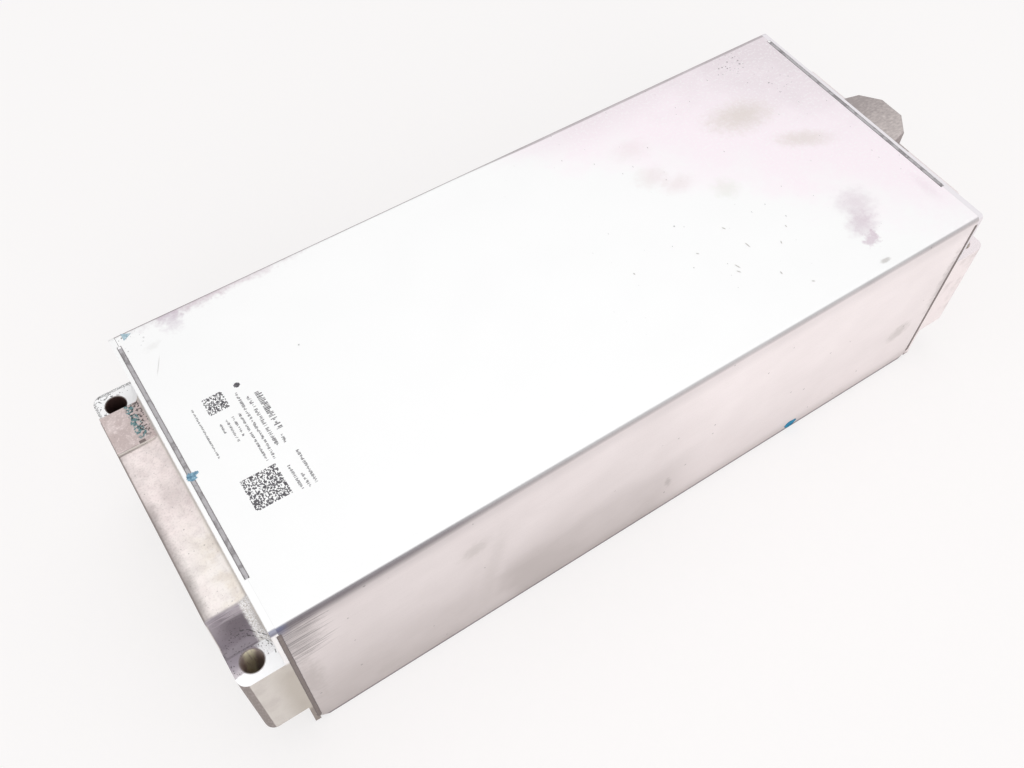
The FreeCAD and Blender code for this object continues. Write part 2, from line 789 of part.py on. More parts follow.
def end_welds(side):
    """Weld runs of one end: across the top face and up both long walls."""
    end = "left" if side == LEFT else "right"
    joint = f"{side} * fit.joint"
    top = weld_run(
        f"weld_{end}_top",
        "XZ_Plane",
        weld_section(joint, "fit.height", -1),
        "fit.half_width - dim.weld_near_margin",
        "2 * fit.half_width - dim.weld_near_margin - dim.weld_far_margin",
        reverse=True,
    )
    runs = [top]
    for wall, hand in (("near", -1), ("far", 1)):
        runs.append(
            weld_run(
                f"weld_{end}_{wall}",
                "XY_Plane",
                weld_section(joint, f"{hand} * fit.half_width", -hand),
                "dim.weld_side_low",
                "fit.height - dim.weld_side_low - dim.weld_side_high",
            )
        )
    seams = doc.addObject("Part::Compound", f"seams_{end}")
    seams.Links = runs
    return export_as(seams, f"weld_seams_{end}")


def cover_welds():
    """Flush weld runs along both long edges of the cover."""
    runs = []
    for wall, hand in (("near", -1), ("far", 1)):
        centre = f"{hand} * fit.inner_half"
        half = "dim.weld_width / 2"
        loop = [
            (f"{centre} - {half}", "0"),
            (f"{centre} + {half}", "0"),
            (f"{centre} + {half} / 2", "dim.weld_depth"),
            (f"{centre} - {half} / 2", "dim.weld_depth"),
        ]
        body = doc.addObject("PartDesign::Body", f"weld_cover_{wall}")
        section = loops_sketch(body, f"weld_cover_{wall}_section", "YZ_Plane", [loop])
        sketch_feature(body, "Pad", section, "2 * fit.cover_weld_end", midplane=True)
        runs.append(body)
    seams = doc.addObject("Part::Compound", "seams_cover")
    seams.Links = runs
    return export_as(seams, "weld_seams_cover")


def housing_channel(welds):
    """Channel with rounded long edges and cut lower corners, less the weld metal."""
    body = doc.addObject("PartDesign::Body", "channel")
    loop = channel_loop("fit.half_width", "0", "fit.height", "dim.wall")
    section = loops_sketch(body, "channel_section", "YZ_Plane", [loop])
    sketch_feature(body, "Pad", section, "2 * fit.joint", midplane=True)
    half, top, end = fit.get("half_width"), fit.get("height"), fit.get("joint")
    dress(
        body,
        "Fillet",
        "channel_edges",
        "Radius",
        "dim.edge_radius",
        lambda edge: runs_along(edge, "x") and any(at(edge, y=hand * half, z=top) for hand in (-1, 1)),
    )
    dress(
        body,
        "Chamfer",
        "channel_corner_cuts",
        "Size",
        "dim.wall_corner_cut",
        lambda edge: runs_along(edge, "y") and any(at(edge, x=side * end, z=0) for side in (LEFT, RIGHT)),
    )
    export_as(cut("channel_welded", body, welds), "housing_channel")


def cover_plate(welds):
    """Flat sheet between the two walls, flush with their lower edges."""
    sheet = box(
        "cover",
        symmetric("fit.joint"),
        symmetric("fit.inner_half"),
        ("0", "dim.cover_thickness"),
    )
    export_as(cut("cover_welded", sheet, welds), "cover_plate")


def plate_base(body, name, side):
    """Rim that butts against the channel, and the register that centres it there."""
    inward = side == RIGHT
    outside = f"{side} * fit.half_length"
    rim_loop = rect(symmetric("fit.half_width"), ("0", "fit.height"))
    rim = loops_sketch(body, f"{name}_rim", "YZ_Plane", [rim_loop], outside)
    sketch_feature(body, "Pad", rim, "dim.rim_thickness", reverse=inward)
    half, top = fit.get("half_width"), fit.get("height")
    for label, radius, level in (("top", "dim.edge_radius", top), ("foot", "dim.foot_radius", 0)):
        dress(
            body,
            "Fillet",
            f"{name}_{label}_corners",
            "Radius",
            radius,
            lambda edge, z=level: runs_along(edge, "x") and any(at(edge, y=h * half, z=z) for h in (-1, 1)),
        )
    register_loop = rect(
        symmetric("fit.inner_half - dim.register_clearance"),
        ("dim.cover_thickness + dim.register_clearance", "fit.inner_top - dim.register_clearance"),
    )
    register = loops_sketch(body, f"{name}_register", "YZ_Plane", [register_loop], f"{side} * fit.joint")
    sketch_feature(body, "Pad", register, "dim.plate_thickness - dim.rim_thickness", reverse=inward)
    gap = dim.get("register_clearance")
    register_half = fit.get("inner_half") - gap
    levels = (dim.get("cover_thickness") + gap, fit.get("inner_top") - gap)
    dress(
        body,
        "Fillet",
        f"{name}_register_corners",
        "Radius",
        "dim.register_corner",
        lambda edge: runs_along(edge, "x")
        and any(at(edge, y=hand * register_half, z=z) for hand in (-1, 1) for z in levels),
    )


def plate_block(body, name, side):
    """Middle block with sloped shoulders, soft toes and a root fillet all round."""
    loop = [
        ("-fit.toe_low_half", "dim.block_bottom"),
        ("fit.toe_low_half", "dim.block_bottom"),
        ("fit.toe_low_half", "fit.toe_low"),
        ("fit.toe_high_half", "fit.toe_high"),
        ("fit.block_half", "fit.block_top"),
        ("-fit.block_half", "fit.block_top"),
        ("-fit.toe_high_half", "fit.toe_high"),
        ("-fit.toe_low_half", "fit.toe_low"),
    ]
    outside = f"{side} * fit.half_length"
    section = loops_sketch(body, f"{name}_block", "YZ_Plane", [loop], outside)
    sketch_feature(body, "Pad", section, "dim.lug_reach - dim.block_setback", reverse=side == LEFT)
    shoulder = (fit.get("block_half"), fit.get("block_top"))
    toe = (fit.get("toe_high_half"), fit.get("toe_high"))
    for label, radius, place in (
        ("shoulders", "dim.shoulder_radius", shoulder),
        ("toes", "dim.toe_radius", toe),
    ):
        dress(
            body,
            "Fillet",
            f"{name}_{label}",
            "Radius",
            radius,
            lambda edge, y=place[0], z=place[1]: runs_along(edge, "x")
            and any(at(edge, y=hand * y, z=z) for hand in (-1, 1)),
        )
    root = side * fit.get("half_length")
    front = side * fit.get("block_out")
    reach = fit.get("toe_low_half") + BOUNDS_SLACK
    for label, radius, plane in (("root", "dim.root_radius", root), ("front", "dim.block_edge", front)):
        dress(
            body,
            "Fillet",
            f"{name}_{label}",
            "Radius",
            radius,
            lambda edge, x=plane: in_plane(edge, "x", x)
            and abs(edge.BoundBox.YMin) < reach
            and abs(edge.BoundBox.YMax) < reach,
        )


def plate_lugs(body, name, side):
    """Two lugs with a machined seat and a vertical bolt hole each."""
    along = beyond(side, "fit.half_length", "fit.lug_out")
    loops = [
        rect(along, ("fit.half_width - dim.lug_width", "fit.half_width")),
        rect(along, ("-fit.half_width", "-fit.half_width + dim.lug_width")),
    ]
    section = loops_sketch(body, f"{name}_lugs", "XY_Plane", loops, "dim.lug_bottom")
    sketch_feature(body, "Pad", section, "fit.lug_seat - dim.lug_bottom")
    out, half = side * fit.get("lug_out"), fit.get("half_width")
    dress(
        body,
        "Fillet",
        f"{name}_lug_corners",
        "Radius",
        "dim.lug_corner",
        lambda edge: runs_along(edge, "z") and any(at(edge, x=out, y=hand * half) for hand in (-1, 1)),
    )
    seat, bottom = fit.get("lug_seat"), dim.get("lug_bottom")
    dress(
        body,
        "Fillet",
        f"{name}_lug_undersides",
        "Radius",
        "dim.lug_edge",
        lambda edge: runs_along(edge, "y") and at(edge, x=out, z=bottom),
    )
    centres = [(f"{side} * fit.bolt_x", f"{hand} * fit.bolt_y") for hand in (-1, 1)]
    holes = circles_sketch(
        body, f"{name}_bolt_holes", "XY_Plane", centres, "dim.bolt_hole_radius", "fit.lug_seat"
    )
    sketch_feature(body, "Pocket", holes, "fit.lug_seat - dim.lug_bottom")
    radius = dim.get("bolt_hole_radius")
    dress(
        body,
        "Chamfer",
        f"{name}_bolt_mouths",
        "Size",
        "dim.bolt_hole_chamfer",
        lambda edge: near(edge.Length, 2 * math.pi * radius)
        and any(in_plane(edge, "z", z) for z in (seat, bottom)),
    )


def block_pockets(body, name, side):
    """Row of pockets in the block's outer face, with ribs between."""
    loops = []
    for i in range(BLOCK_POCKETS):
        start = f"-fit.pocket_row / 2 + {i} * (fit.pocket_width + dim.pocket_rib)"
        loops.append(rect((start, f"{start} + fit.pocket_width"), ("fit.pocket_low", "fit.pocket_high")))
    mouths = loops_sketch(body, f"{name}_pockets", "YZ_Plane", loops, f"{side} * fit.block_out")
    sketch_feature(body, "Pocket", mouths, "dim.pocket_depth", reverse=side == LEFT)
    levels = (fit.get("pocket_low"), fit.get("pocket_high"))
    depth, limit = dim.get("pocket_depth"), fit.get("block_half")
    dress(
        body,
        "Fillet",
        f"{name}_pocket_corners",
        "Radius",
        "dim.pocket_corner",
        lambda edge: runs_along(edge, "x")
        and near(edge.Length, depth)
        and any(at(edge, z=z) for z in levels)
        and abs(edge.BoundBox.YMin) < limit,
    )


def raised_pad(body, name, side):
    """Low raised pad on the far part of the block's top."""
    outline = rect(
        beyond(side, "fit.half_length", "fit.block_out - dim.pad_setback"),
        ("dim.pad_start", "fit.block_half - dim.pad_end_inset"),
    )
    pad = loops_sketch(body, f"{name}_raised_pad", "XY_Plane", [outline], "fit.block_top + dim.pad_rise")
    sketch_feature(body, "Pad", pad, "dim.pad_rise + dim.pad_sink", reverse=True)
    top, start = fit.get("block_top") + dim.get("pad_rise"), dim.get("pad_start")
    dress(
        body,
        "Fillet",
        f"{name}_pad_edges",
        "Radius",
        "dim.pad_edge",
        lambda edge: in_plane(edge, "z", top)
        and edge.BoundBox.YMin > start - BOUNDS_SLACK
        and not at(edge, x=side * fit.get("half_length")),
    )


def octagonal_boss(body, name):
    """Boss with a half-octagonal outline that rises from the block nearly to the case's top."""
    corners = [
        ("fit.half_length", "-dim.boss_half"),
        ("fit.half_length + dim.boss_shoulder_out", "-dim.boss_shoulder"),
        ("fit.block_out", "-dim.boss_front"),
        ("fit.block_out", "dim.boss_front"),
        ("fit.half_length + dim.boss_shoulder_out", "dim.boss_shoulder"),
        ("fit.half_length", "dim.boss_half"),
    ]
    level = "fit.height - dim.boss_drop"
    outline = loops_sketch(body, f"{name}_boss", "XY_Plane", [corners], level)
    sketch_feature(body, "Pad", outline, f"{level} - fit.block_top + dim.boss_sink", reverse=True)
    top = fit.get("height") - dim.get("boss_drop")
    wall = fit.get("half_length") + BOUNDS_SLACK
    dress(
        body,
        "Fillet",
        f"{name}_boss_edges",
        "Radius",
        "dim.boss_edge",
        lambda edge: in_plane(edge, "z", top) and edge.BoundBox.XMax > wall,
    )


def terminal_bays(body, name):
    """Bays in the right block and the windows through the plate behind them."""
    deep = loops_sketch(body, f"{name}_bays", "YZ_Plane", bay_loops(), "fit.block_out")
    sketch_feature(body, "Pocket", deep, "fit.block_out - fit.plate_in")
    middle_loop = rect(symmetric("fit.header_bay_half"), ("fit.bay_low", "fit.bay_high"))
    middle = loops_sketch(body, f"{name}_header_bay", "YZ_Plane", [middle_loop], "fit.block_out")
    sketch_feature(body, "Pocket", middle, "fit.block_out - fit.half_length")
    window = loops_sketch(body, f"{name}_header_window", "YZ_Plane", [header_loop()], "fit.half_length")
    sketch_feature(body, "Pocket", window, "dim.plate_thickness")
    levels = (fit.get("bay_low"), fit.get("bay_high"))
    corners = (dim.get("bay_inner"), fit.get("bay_outer"), fit.get("header_bay_half"))
    dress(
        body,
        "Fillet",
        f"{name}_bay_corners",
        "Radius",
        "dim.bay_corner",
        lambda edge: runs_along(edge, "x")
        and any(at(edge, y=hand * y, z=z) for hand in (-1, 1) for y in corners for z in levels),
    )


def end_plate(side, welds):
    """Cast end plate, less the weld metal."""
    name = "plate_left" if side == LEFT else "plate_right"
    body = doc.addObject("PartDesign::Body", name)
    plate_base(body, name, side)
    plate_block(body, name, side)
    plate_lugs(body, name, side)
    if side == LEFT:
        raised_pad(body, name, side)
        block_pockets(body, name, side)
    else:
        octagonal_boss(body, name)
        terminal_bays(body, name)
    export_as(cut(f"{name}_welded", body, welds), f"end_{name}")


def check(target):
    """Stop on an object that failed or a shape that is empty or broken."""
    if {"Invalid", "Error"} & set(target.State):
        raise RuntimeError(f"{target.Label}: {target.State}")
    if target not in exported:
        return
    if target.Shape.isNull() or not target.Shape.isValid() or not target.Shape.Solids:
        raise RuntimeError(f"{target.Label}: bad shape")


left_welds = end_welds(LEFT)
right_welds = end_welds(RIGHT)
long_welds = cover_welds()
all_welds = doc.addObject("Part::Compound", "all_welds")
all_welds.Links = [left_welds, right_welds, long_welds]
housing_channel(all_welds)
cover_plate(long_welds)
end_plate(LEFT, left_welds)
end_plate(RIGHT, right_welds)
for index in range(CELLS):
    pouch_cell(index)
for index in range(PADS):
    compression_pad(index)
insulating_film()
thermal_resin()
for side in (LEFT, RIGHT):
    busbar_carrier(side)
    end_insulator(side)
for number in range(SERIES // 2):
    series_busbar(LEFT, number + 1, 2 * PARALLEL * number)
for number in range(SERIES // 2 - 1):
    series_busbar(RIGHT, number + 1, 2 * PARALLEL * number + PARALLEL)
for label, hand in (("negative", -1), ("positive", 1)):
    terminal_busbar(label, hand)
    terminal_block(label, hand)
terminal_nuts()
sense_strip()
sense_header()
sense_pins()

doc.recompute()
for item in doc.Objects:
    check(item)
os.makedirs("parts", exist_ok=True)
for item in exported:
    item.Shape.exportStep(f"parts/{item.Label}.step")
    print(f"{item.Label}: {len(item.Shape.Solids)} solid(s), {item.Shape.Volume / 1000:.2f} cm3")
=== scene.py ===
"""Looks of a battery module: welded aluminium case, cast end plates, terminals and the sealed parts."""

import logging
import math
import random
from collections.abc import Sequence
from dataclasses import dataclass
from enum import Enum
from typing import Any

import bpy
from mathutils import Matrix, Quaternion, Vector

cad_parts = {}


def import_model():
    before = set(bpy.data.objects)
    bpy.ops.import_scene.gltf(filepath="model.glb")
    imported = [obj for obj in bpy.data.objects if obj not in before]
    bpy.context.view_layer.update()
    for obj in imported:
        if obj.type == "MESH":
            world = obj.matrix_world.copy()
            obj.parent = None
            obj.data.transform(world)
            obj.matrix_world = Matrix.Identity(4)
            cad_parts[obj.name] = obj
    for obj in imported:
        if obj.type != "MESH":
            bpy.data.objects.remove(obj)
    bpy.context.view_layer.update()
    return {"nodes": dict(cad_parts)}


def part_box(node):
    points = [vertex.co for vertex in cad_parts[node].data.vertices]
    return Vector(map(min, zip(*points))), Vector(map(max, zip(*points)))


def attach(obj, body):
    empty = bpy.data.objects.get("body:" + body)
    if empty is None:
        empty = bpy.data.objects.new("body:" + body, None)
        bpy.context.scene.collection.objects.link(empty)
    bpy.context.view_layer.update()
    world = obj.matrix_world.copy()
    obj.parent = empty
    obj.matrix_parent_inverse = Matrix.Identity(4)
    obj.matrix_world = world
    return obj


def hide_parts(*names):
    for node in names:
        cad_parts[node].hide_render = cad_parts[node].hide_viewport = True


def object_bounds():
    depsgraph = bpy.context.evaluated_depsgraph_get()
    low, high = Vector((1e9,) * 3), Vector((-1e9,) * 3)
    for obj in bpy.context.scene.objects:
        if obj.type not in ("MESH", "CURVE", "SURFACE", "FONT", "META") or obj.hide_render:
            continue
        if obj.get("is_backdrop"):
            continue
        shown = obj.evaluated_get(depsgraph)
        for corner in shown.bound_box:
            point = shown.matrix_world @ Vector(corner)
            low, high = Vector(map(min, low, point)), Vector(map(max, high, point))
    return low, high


logger = logging.getLogger("battery_module")

MM = 0.001
WHITE = (1, 1, 1)

Colour = tuple[float, float, float]
Point = tuple[float, float, float]
Span = tuple[float, float]


class Face(Enum):
    """A side of the case that marks lie on, as the two axes that run along it."""

    TOP = ("x", "y")
    WALL = ("x", "z")


@dataclass(frozen=True)
class Wire:
    """One output socket of a node tree."""

    nodes: "Nodes"
    socket: bpy.types.NodeSocket


class Value(Wire):
    """A number that varies over a surface, with Python's operators as Math nodes."""

    def _math(self, operation: str, *operands: "Value | float") -> "Value":
        """Add a Math node with its inputs in order."""
        node = self.nodes.add("ShaderNodeMath", {"operation": operation}, dict(enumerate(operands)))
        return Value(self.nodes, node.outputs[0])

    def __add__(self, other: "Value | float") -> "Value":
        """Sum."""
        return self._math("ADD", self, other)

    __radd__ = __add__

    def __mul__(self, other: "Value | float") -> "Value":
        """Product."""
        return self._math("MULTIPLY", self, other)

    __rmul__ = __mul__

    def __sub__(self, other: "Value | float") -> "Value":
        """Difference."""
        return self._math("SUBTRACT", self, other)

    def __rsub__(self, other: float) -> "Value":
        """Difference from a plain number."""
        return self._math("SUBTRACT", other, self)

    def __truediv__(self, other: "Value | float") -> "Value":
        """Quotient."""
        return self._math("DIVIDE", self, other)

    def __pow__(self, other: float) -> "Value":
        """Power."""
        return self._math("POWER", self, other)

    def __abs__(self) -> "Value":
        """Size without its sign."""
        return self._math("ABSOLUTE", self)

    def larger(self, other: "Value | float") -> "Value":
        """The larger of two."""
        return self._math("MAXIMUM", self, other)

    def swing(self, width: float) -> "Value":
        """A noise about 0.5, as an offset about 0 of a given width."""
        return (self - 0.5) * width

    def oval(self, other: "Value", radii: Span) -> "Value":
        """Distance from the middle of an oval, 0 there and 1 on its outline."""
        return ((self / radii[0]) ** 2.0 + (other / radii[1]) ** 2.0) ** 0.5

    def rise(self, start: float, end: float) -> "Value":
        """Smooth step.

        Args:
            start: Where the result is 0.
            end: Where the result is 1; it may lie below start.

        Returns:
            A number from 0 to 1.
        """
        inputs = {"Value": self, "From Min": start, "From Max": end}
        node = self.nodes.add("ShaderNodeMapRange", {"interpolation_type": "SMOOTHSTEP"}, inputs)
        return Value(self.nodes, node.outputs[0])

    def within(self, low: float, high: float, soft: float) -> "Value":
        """Mask of the range from low to high, which fades over a soft width beyond each end."""
        return self.rise(low - soft, low) * self.rise(high + soft, high)


class Tint(Wire):
    """A colour that varies over a surface."""

    def under(self, *layers: "tuple[Value | float, Tint | Colour]") -> "Tint":
        """This colour with others laid over it.

        Args:
            layers: How much of each shows, from 0 to 1, and its colour, from the lowest up.

        Returns:
            The mixed colour.
        """
        mixed = self
        for mask, colour in layers:
            mixed = self.nodes.blend(mask, mixed, colour)
        return mixed


class Nodes:
    """A node tree in the making."""

    def __init__(self, tree: bpy.types.NodeTree) -> None:
        """Clear the tree."""
        self.tree = tree
        tree.nodes.clear()

    def add(
        self,
        kind: str,
        settings: dict[str, Any] | None = None,
        inputs: dict[Any, Any] | None = None,
    ) -> bpy.types.Node:
        """Add a node.

        Args:
            kind: The node's type.
            settings: Its properties, set before the inputs.
            inputs: Values, colours or links for its input sockets, by name or number.

        Returns:
            The node.
        """
        node = self.tree.nodes.new(kind)
        for name, setting in (settings or {}).items():
            setattr(node, name, setting)
        for key, value in (inputs or {}).items():
            if isinstance(value, Wire):
                value = value.socket
            if isinstance(value, bpy.types.NodeSocket):
                self.tree.links.new(value, node.inputs[key])
            elif node.inputs[key].type == "RGBA":
                node.inputs[key].default_value = (*value, 1)
            else:
                node.inputs[key].default_value = value
        return node

    def blend(self, mask: Value | float, low: Tint | Colour, high: Tint | Colour) -> Tint:
        """Mix two colours: the first where the mask is 0, the second where it is 1."""
        settings = {"data_type": "RGBA", "clamp_factor": True}
        return Tint(self, self.add("ShaderNodeMix", settings, {0: mask, 6: low, 7: high}).outputs[2])

    def close(self, kind: str, mask: Value, low: bpy.types.Node, high: bpy.types.Node) -> None:
        """Mix two shaders and give the result to an output node of some kind."""
        mixed = self.add("ShaderNodeMixShader", inputs={0: mask, 1: low.outputs[0], 2: high.outputs[0]})
        self.add(kind, inputs={"Surface": mixed.outputs[0]})


class Graph(Nodes):
    """The nodes of one material, with the place on the object in millimetres."""

    def __init__(self, name: str) -> None:
        """Start an empty material.

        Args:
            name: The material's name.
        """
        self.material = bpy.data.materials.new(name)
        self.material.use_nodes = True
        super().__init__(self.material.node_tree)
        self.place = self.add("ShaderNodeTexCoord").outputs["Object"]
        self.x, self.y, self.z = self._parts(self._stretched((1 / MM, 1 / MM, 1 / MM)))
        facing = self.add("ShaderNodeNewGeometry").outputs["Normal"]
        self.facing_x, self.facing_y, self.facing_z = self._parts(facing)

    def _parts(self, socket: bpy.types.NodeSocket) -> list[Value]:
        """Split a vector into its three numbers."""
        node = self.add("ShaderNodeSeparateXYZ", inputs={0: socket})
        return [Value(self, output) for output in node.outputs]

    def _stretched(self, stretch: Point) -> bpy.types.NodeSocket:
        """The place on the object in metres, times a factor along each axis."""
        node = self.add("ShaderNodeVectorMath", {"operation": "MULTIPLY"}, {0: self.place, 1: stretch})
        return node.outputs[0]

    def noise(self, grain: float, detail: float = 3.0, stretch: Point = (1, 1, 1)) -> Value:
        """Cloudy noise about 0.5, with a grain in millimetres and a frequency stretched along each axis."""
        inputs = {"Vector": self._stretched(stretch), "Scale": 1 / (grain * MM), "Detail": detail}
        return Value(self, self.add("ShaderNodeTexNoise", inputs=inputs).outputs["Fac"])

    def specks(
        self, pitch: float, size: float, share: float, fray: Value, stretch: Point = (1, 1, 1)
    ) -> Value:
        """Mask of small uneven specks, strewn at random.

        Args:
            pitch: Mean distance of the places where a speck may be, in millimetres.
            size: Radius of a speck, as a part of the pitch.
            share: Part of the places that have one.
            fray: Noise that makes their outlines uneven.
            stretch: Factor on the frequency along X, Y and Z, which draws them out.

        Returns:
            1 on a speck and 0 elsewhere.
        """
        inputs = {"Vector": self._stretched(stretch), "Scale": 1 / (pitch * MM)}
        cells = self.add("ShaderNodeTexVoronoi", inputs=inputs).outputs
        draw = self._parts(cells["Color"])
        spread = Value(self, cells["Distance"]) / (draw[1] + 0.3) + fray.swing(size * 3)
        return spread.rise(size * 1.3, size * 0.7) * draw[0].rise(share, share * 0.98)

    def surface(self, relief: Value | None = None, depth: float = 0.0, **inputs: Any) -> bpy.types.Material:
        """Close the graph with its shader.

        Args:
            relief: Height of the surface, from 0 to 1.
            depth: How deep the relief is, in millimetres.
            inputs: Inputs of the shader, by the names of its sockets.

        Returns:
            The finished material.
        """
        if relief is not None:
            bump = self.add("ShaderNodeBump", inputs={"Height": relief, "Distance": depth * MM})
            inputs["Normal"] = bump.outputs["Normal"]
        shader = self.add("ShaderNodeBsdfPrincipled", inputs=inputs)
        self.add("ShaderNodeOutputMaterial", inputs={"Surface": shader.outputs[0]})
        return self.material


@dataclass(frozen=True)
class Blot:
    """A soft-edged mark on a side of the case, in millimetres."""

    face: Face
    centre: Span
    radii: Span
    colour: Colour
    strength: float
    turn: float = 0.0
    soft: float = 0.5
    ragged: float = 1.2

    def mask(self, graph: Graph, fray: Value) -> Value:
        """Where the mark shows.

        Args:
            graph: The nodes of the marked surface.
            fray: Noise that frays the mark's outline.

        Returns:
            Its mask, up to its strength.
        """
        across, up = (getattr(graph, axis) - middle for axis, middle in zip(self.face.value, self.centre))
        cosine, sine = math.cos(self.turn), math.sin(self.turn)
        reach = (across * cosine + up * sine).oval(up * cosine - across * sine, self.radii)
        return (reach + fray.swing(self.ragged)).rise(1 + self.soft, 1 - self.soft) * self.strength


@dataclass(frozen=True)
class Finish:
    """Looks of a surface."""

    name: str

    def _graph(self) -> Graph:
        """The nodes that the looks start from."""
        return Graph(self.name)

    def _looks(self, graph: Graph) -> dict[str, Any]:
        """Relief, its depth and the shader's inputs; plain unless a finish says more."""
        return {}

    def material(self) -> bpy.types.Material:
        """Make the material."""
        graph = self._graph()
        return graph.surface(**self._looks(graph))


@dataclass(frozen=True)
class SheetFinish(Finish):
    """Satin aluminium sheet of the channel and the cover, with the marks of use and with painted shade and
    reflection on the wall and the long bends.
    """

    half_width: float
    height: float
    joint: float
    marks: tuple[Blot, ...] = ()
    clusters: tuple[tuple[float, float, float], ...] = ((146, 65, 11), (157, 45, 12), (-170, 69, 8))
    relief: float = 0.015
    top: Colour = (0.95, 0.95, 0.95)
    lilac: Colour = (0.95, 0.862, 0.912)
    lilac_grey: Colour = (0.78, 0.705, 0.742)
    wall: Colour = (0.90, 0.845, 0.848)
    # painted shade of the wall
    wall_shade: Colour = (0.50, 0.462, 0.452)
    # grain, and painted shadow at the foot of the wall
    wall_dark: Colour = (0.40, 0.355, 0.345)
    # painted dark reflection on the near bend, and painted contact shadow along the bottom edge
    edge: Colour = (0.105, 0.09, 0.105)
    # painted dark reflection on the near bend at its left end
    edge_reflection_blue: Colour = (0.07, 0.078, 0.155)
    # painted shade along the far long side
    far_edge_shade: Colour = (0.34, 0.30, 0.31)
    scratch: Colour = (0.20, 0.185, 0.19)
    line: Colour = (0.16, 0.15, 0.16)
    speck: Colour = (0.11, 0.105, 0.11)

    def _looks(self, graph: Graph) -> dict[str, Any]:
        """The shader's inputs."""
        cloud = graph.noise(22, 4)
        fray = graph.noise(2.6, 6)
        grain = graph.noise(0.6, 2)
        brush = graph.noise(0.45, 3, (0.03, 1, 1))
        upward = graph.facing_z.rise(0.5, 0.8)
        shown = {Face.TOP: upward, Face.WALL: (1 - upward) * graph.y.rise(0, -10)}
        worn = 0.75 + grain * 0.5
        colour = self._wall_colour(graph, cloud, brush).under(
            (upward, self._top_colour(graph, cloud, fray, grain)),
            *((mark.mask(graph, fray) * worn * shown[mark.face], mark.colour) for mark in self.marks),
            (grain.rise(0.5, 0.8) * (0.02 + 0.13 * (1 - upward)), self.wall_dark),
        )
        joint = (abs(graph.x) - self.joint).within(-0.12, 0.3, 0.1)
        joint = joint * (0.15 + graph.y.rise(67, 69) * graph.x.rise(0, -1) * 0.75)
        return {
            "relief": brush * 0.5 + grain * 0.5,
            "depth": self.relief,
            "Base Color": self._edge_bands(graph, colour, cloud, grain).under((joint, self.line)),
            "Metallic": 0.14 + cloud * 0.14,
            "Roughness": 0.38 + brush * 0.14 + cloud * 0.1,
        }

    def _top_colour(self, graph: Graph, cloud: Value, fray: Value, grain: Value) -> Tint:
        """Near-white sheet that turns lilac towards the far right corner, with dark specks and painted shade
        along the far side.
        """
        x, y = graph.x, graph.y
        slant = x * 0.7 + y * 0.71 + cloud.swing(50) + fray.swing(14)
        turned = slant.rise(50, 94)
        # painted shade along the far long side
        far = y.rise(52, 76) * x.rise(0, 70) * (0.3 + cloud * 0.5)
        flecks = graph.noise(1.3, 5).rise(0.52, 0.64)
        first, second, third = (
            (x - across).oval(y - up, (radius, radius)).rise(1, 0.4) for across, up, radius in self.clusters
        )
        fine = graph.specks(1.5, 0.25, 0.7, grain) * fray.rise(0.44, 0.52)
        fine = fine * first.larger(second).larger(third)
        thin = graph.specks(4.2, 0.06, 0.5, grain, (1.5, 0.8, 1)) * x.rise(-10, 50) * y.rise(-66, -30)
        return graph.blend(turned, self.top, self.lilac).under(
            (slant.rise(96, 166).larger(far), self.lilac_grey),
            (flecks * turned * 0.35, self.top),
            ((fine * 0.8).larger(thin * 0.6), self.speck),
            (graph.specks(17, 0.022, 0.6, grain) * 0.5, self.speck),
        )

    def _wall_colour(self, graph: Graph, cloud: Value, brush: Value) -> Tint:
        """Warm light grey wall with painted shade, darker to the left, towards the bottom and below a
        slanting line, with painted shadow at its foot, scratched at its left end.
        """
        x, z = graph.x, graph.z
        side = graph.y.rise(0, -10)
        left, right = x.rise(80, -150), x.rise(50, 160)
        slant = z - x * 0.93 - 114 + cloud.swing(30)
        under = slant.rise(12, -12) * x.within(-66, 0, 25) * side
        dip_shade = (z + cloud.swing(40)).rise(54, 38) * (x + cloud.swing(40)).within(-66, 8, 22) * side
        # painted shade: darker to the left, towards the bottom, below the slant and in a low patch near the
        # middle of the near wall
        shade = left * 0.46 + z.rise(90, 0) * (0.34 + left * 0.12 - right * 0.18) + under * 0.1
        shade = shade + dip_shade * 0.18 + 0.03 + cloud.swing(0.26) + brush.swing(0.1)
        ends = graph.noise(2.4, 2, (0, 0, 1))
        zone = (x + ends.swing(34)).rise(-156, -164) * side * z.within(77, 103, 9)
        return graph.blend(shade, self.wall, self.wall_shade).under(
            # painted shadow along the foot of the wall
            (z.rise(12, 1) * (0.2 + x.rise(-100, 0) * 0.22), self.wall_dark),
            (zone * graph.noise(0.8, 3, (0.025, 0, 1)).rise(0.46, 0.6) * 0.85, self.scratch),
            (graph.specks(9, 0.05, 0.8, brush) * 0.6, self.speck),
            # painted contact shadow along the bottom edge of the walls
            (z.rise(2.2, 1) * 0.7, self.edge),
        )

    def _edge_bands(self, graph: Graph, colour: Tint, cloud: Value, grain: Value) -> Tint:
        """Painted dark reflection on the bend of the near long edge, wide and blue at its left end, with
        painted shade on the wall below it, and a painted shade line along the far one.
        """
        x, y = graph.x, graph.y
        left = x.rise(20, -150) ** 2.0
        under = self.height - graph.z
        fade = (under / (left * 4.5 + 4.6)).rise(1, 0.08)
        near = y.rise(3 - self.half_width, 1.5 - self.half_width)
        depth = left * 0.36 + 0.52 + cloud.swing(0.2) + grain.swing(0.12)
        # painted shade on the wall below the near bend
        shade_below_edge = under.rise(14, 4) * (left * 0.12 + 0.11)
        # painted shade line along the far long side
        far = (y + x.rise(-20, 40) * 1.2).rise(self.half_width - 1.9, self.half_width - 1)
        far = far * (0.62 + cloud * 0.5 + x.rise(-120, -160) * 0.2 - x.rise(-60, 60) * 0.27)
        return colour.under(
            (
                near * under.rise(0.06, 0.5) * (fade * depth).larger(shade_below_edge),
                graph.blend(x.rise(-169, -173), self.edge, self.edge_reflection_blue),
            ),
            (far * under.rise(2.5, 1.5), self.far_edge_shade),
        )


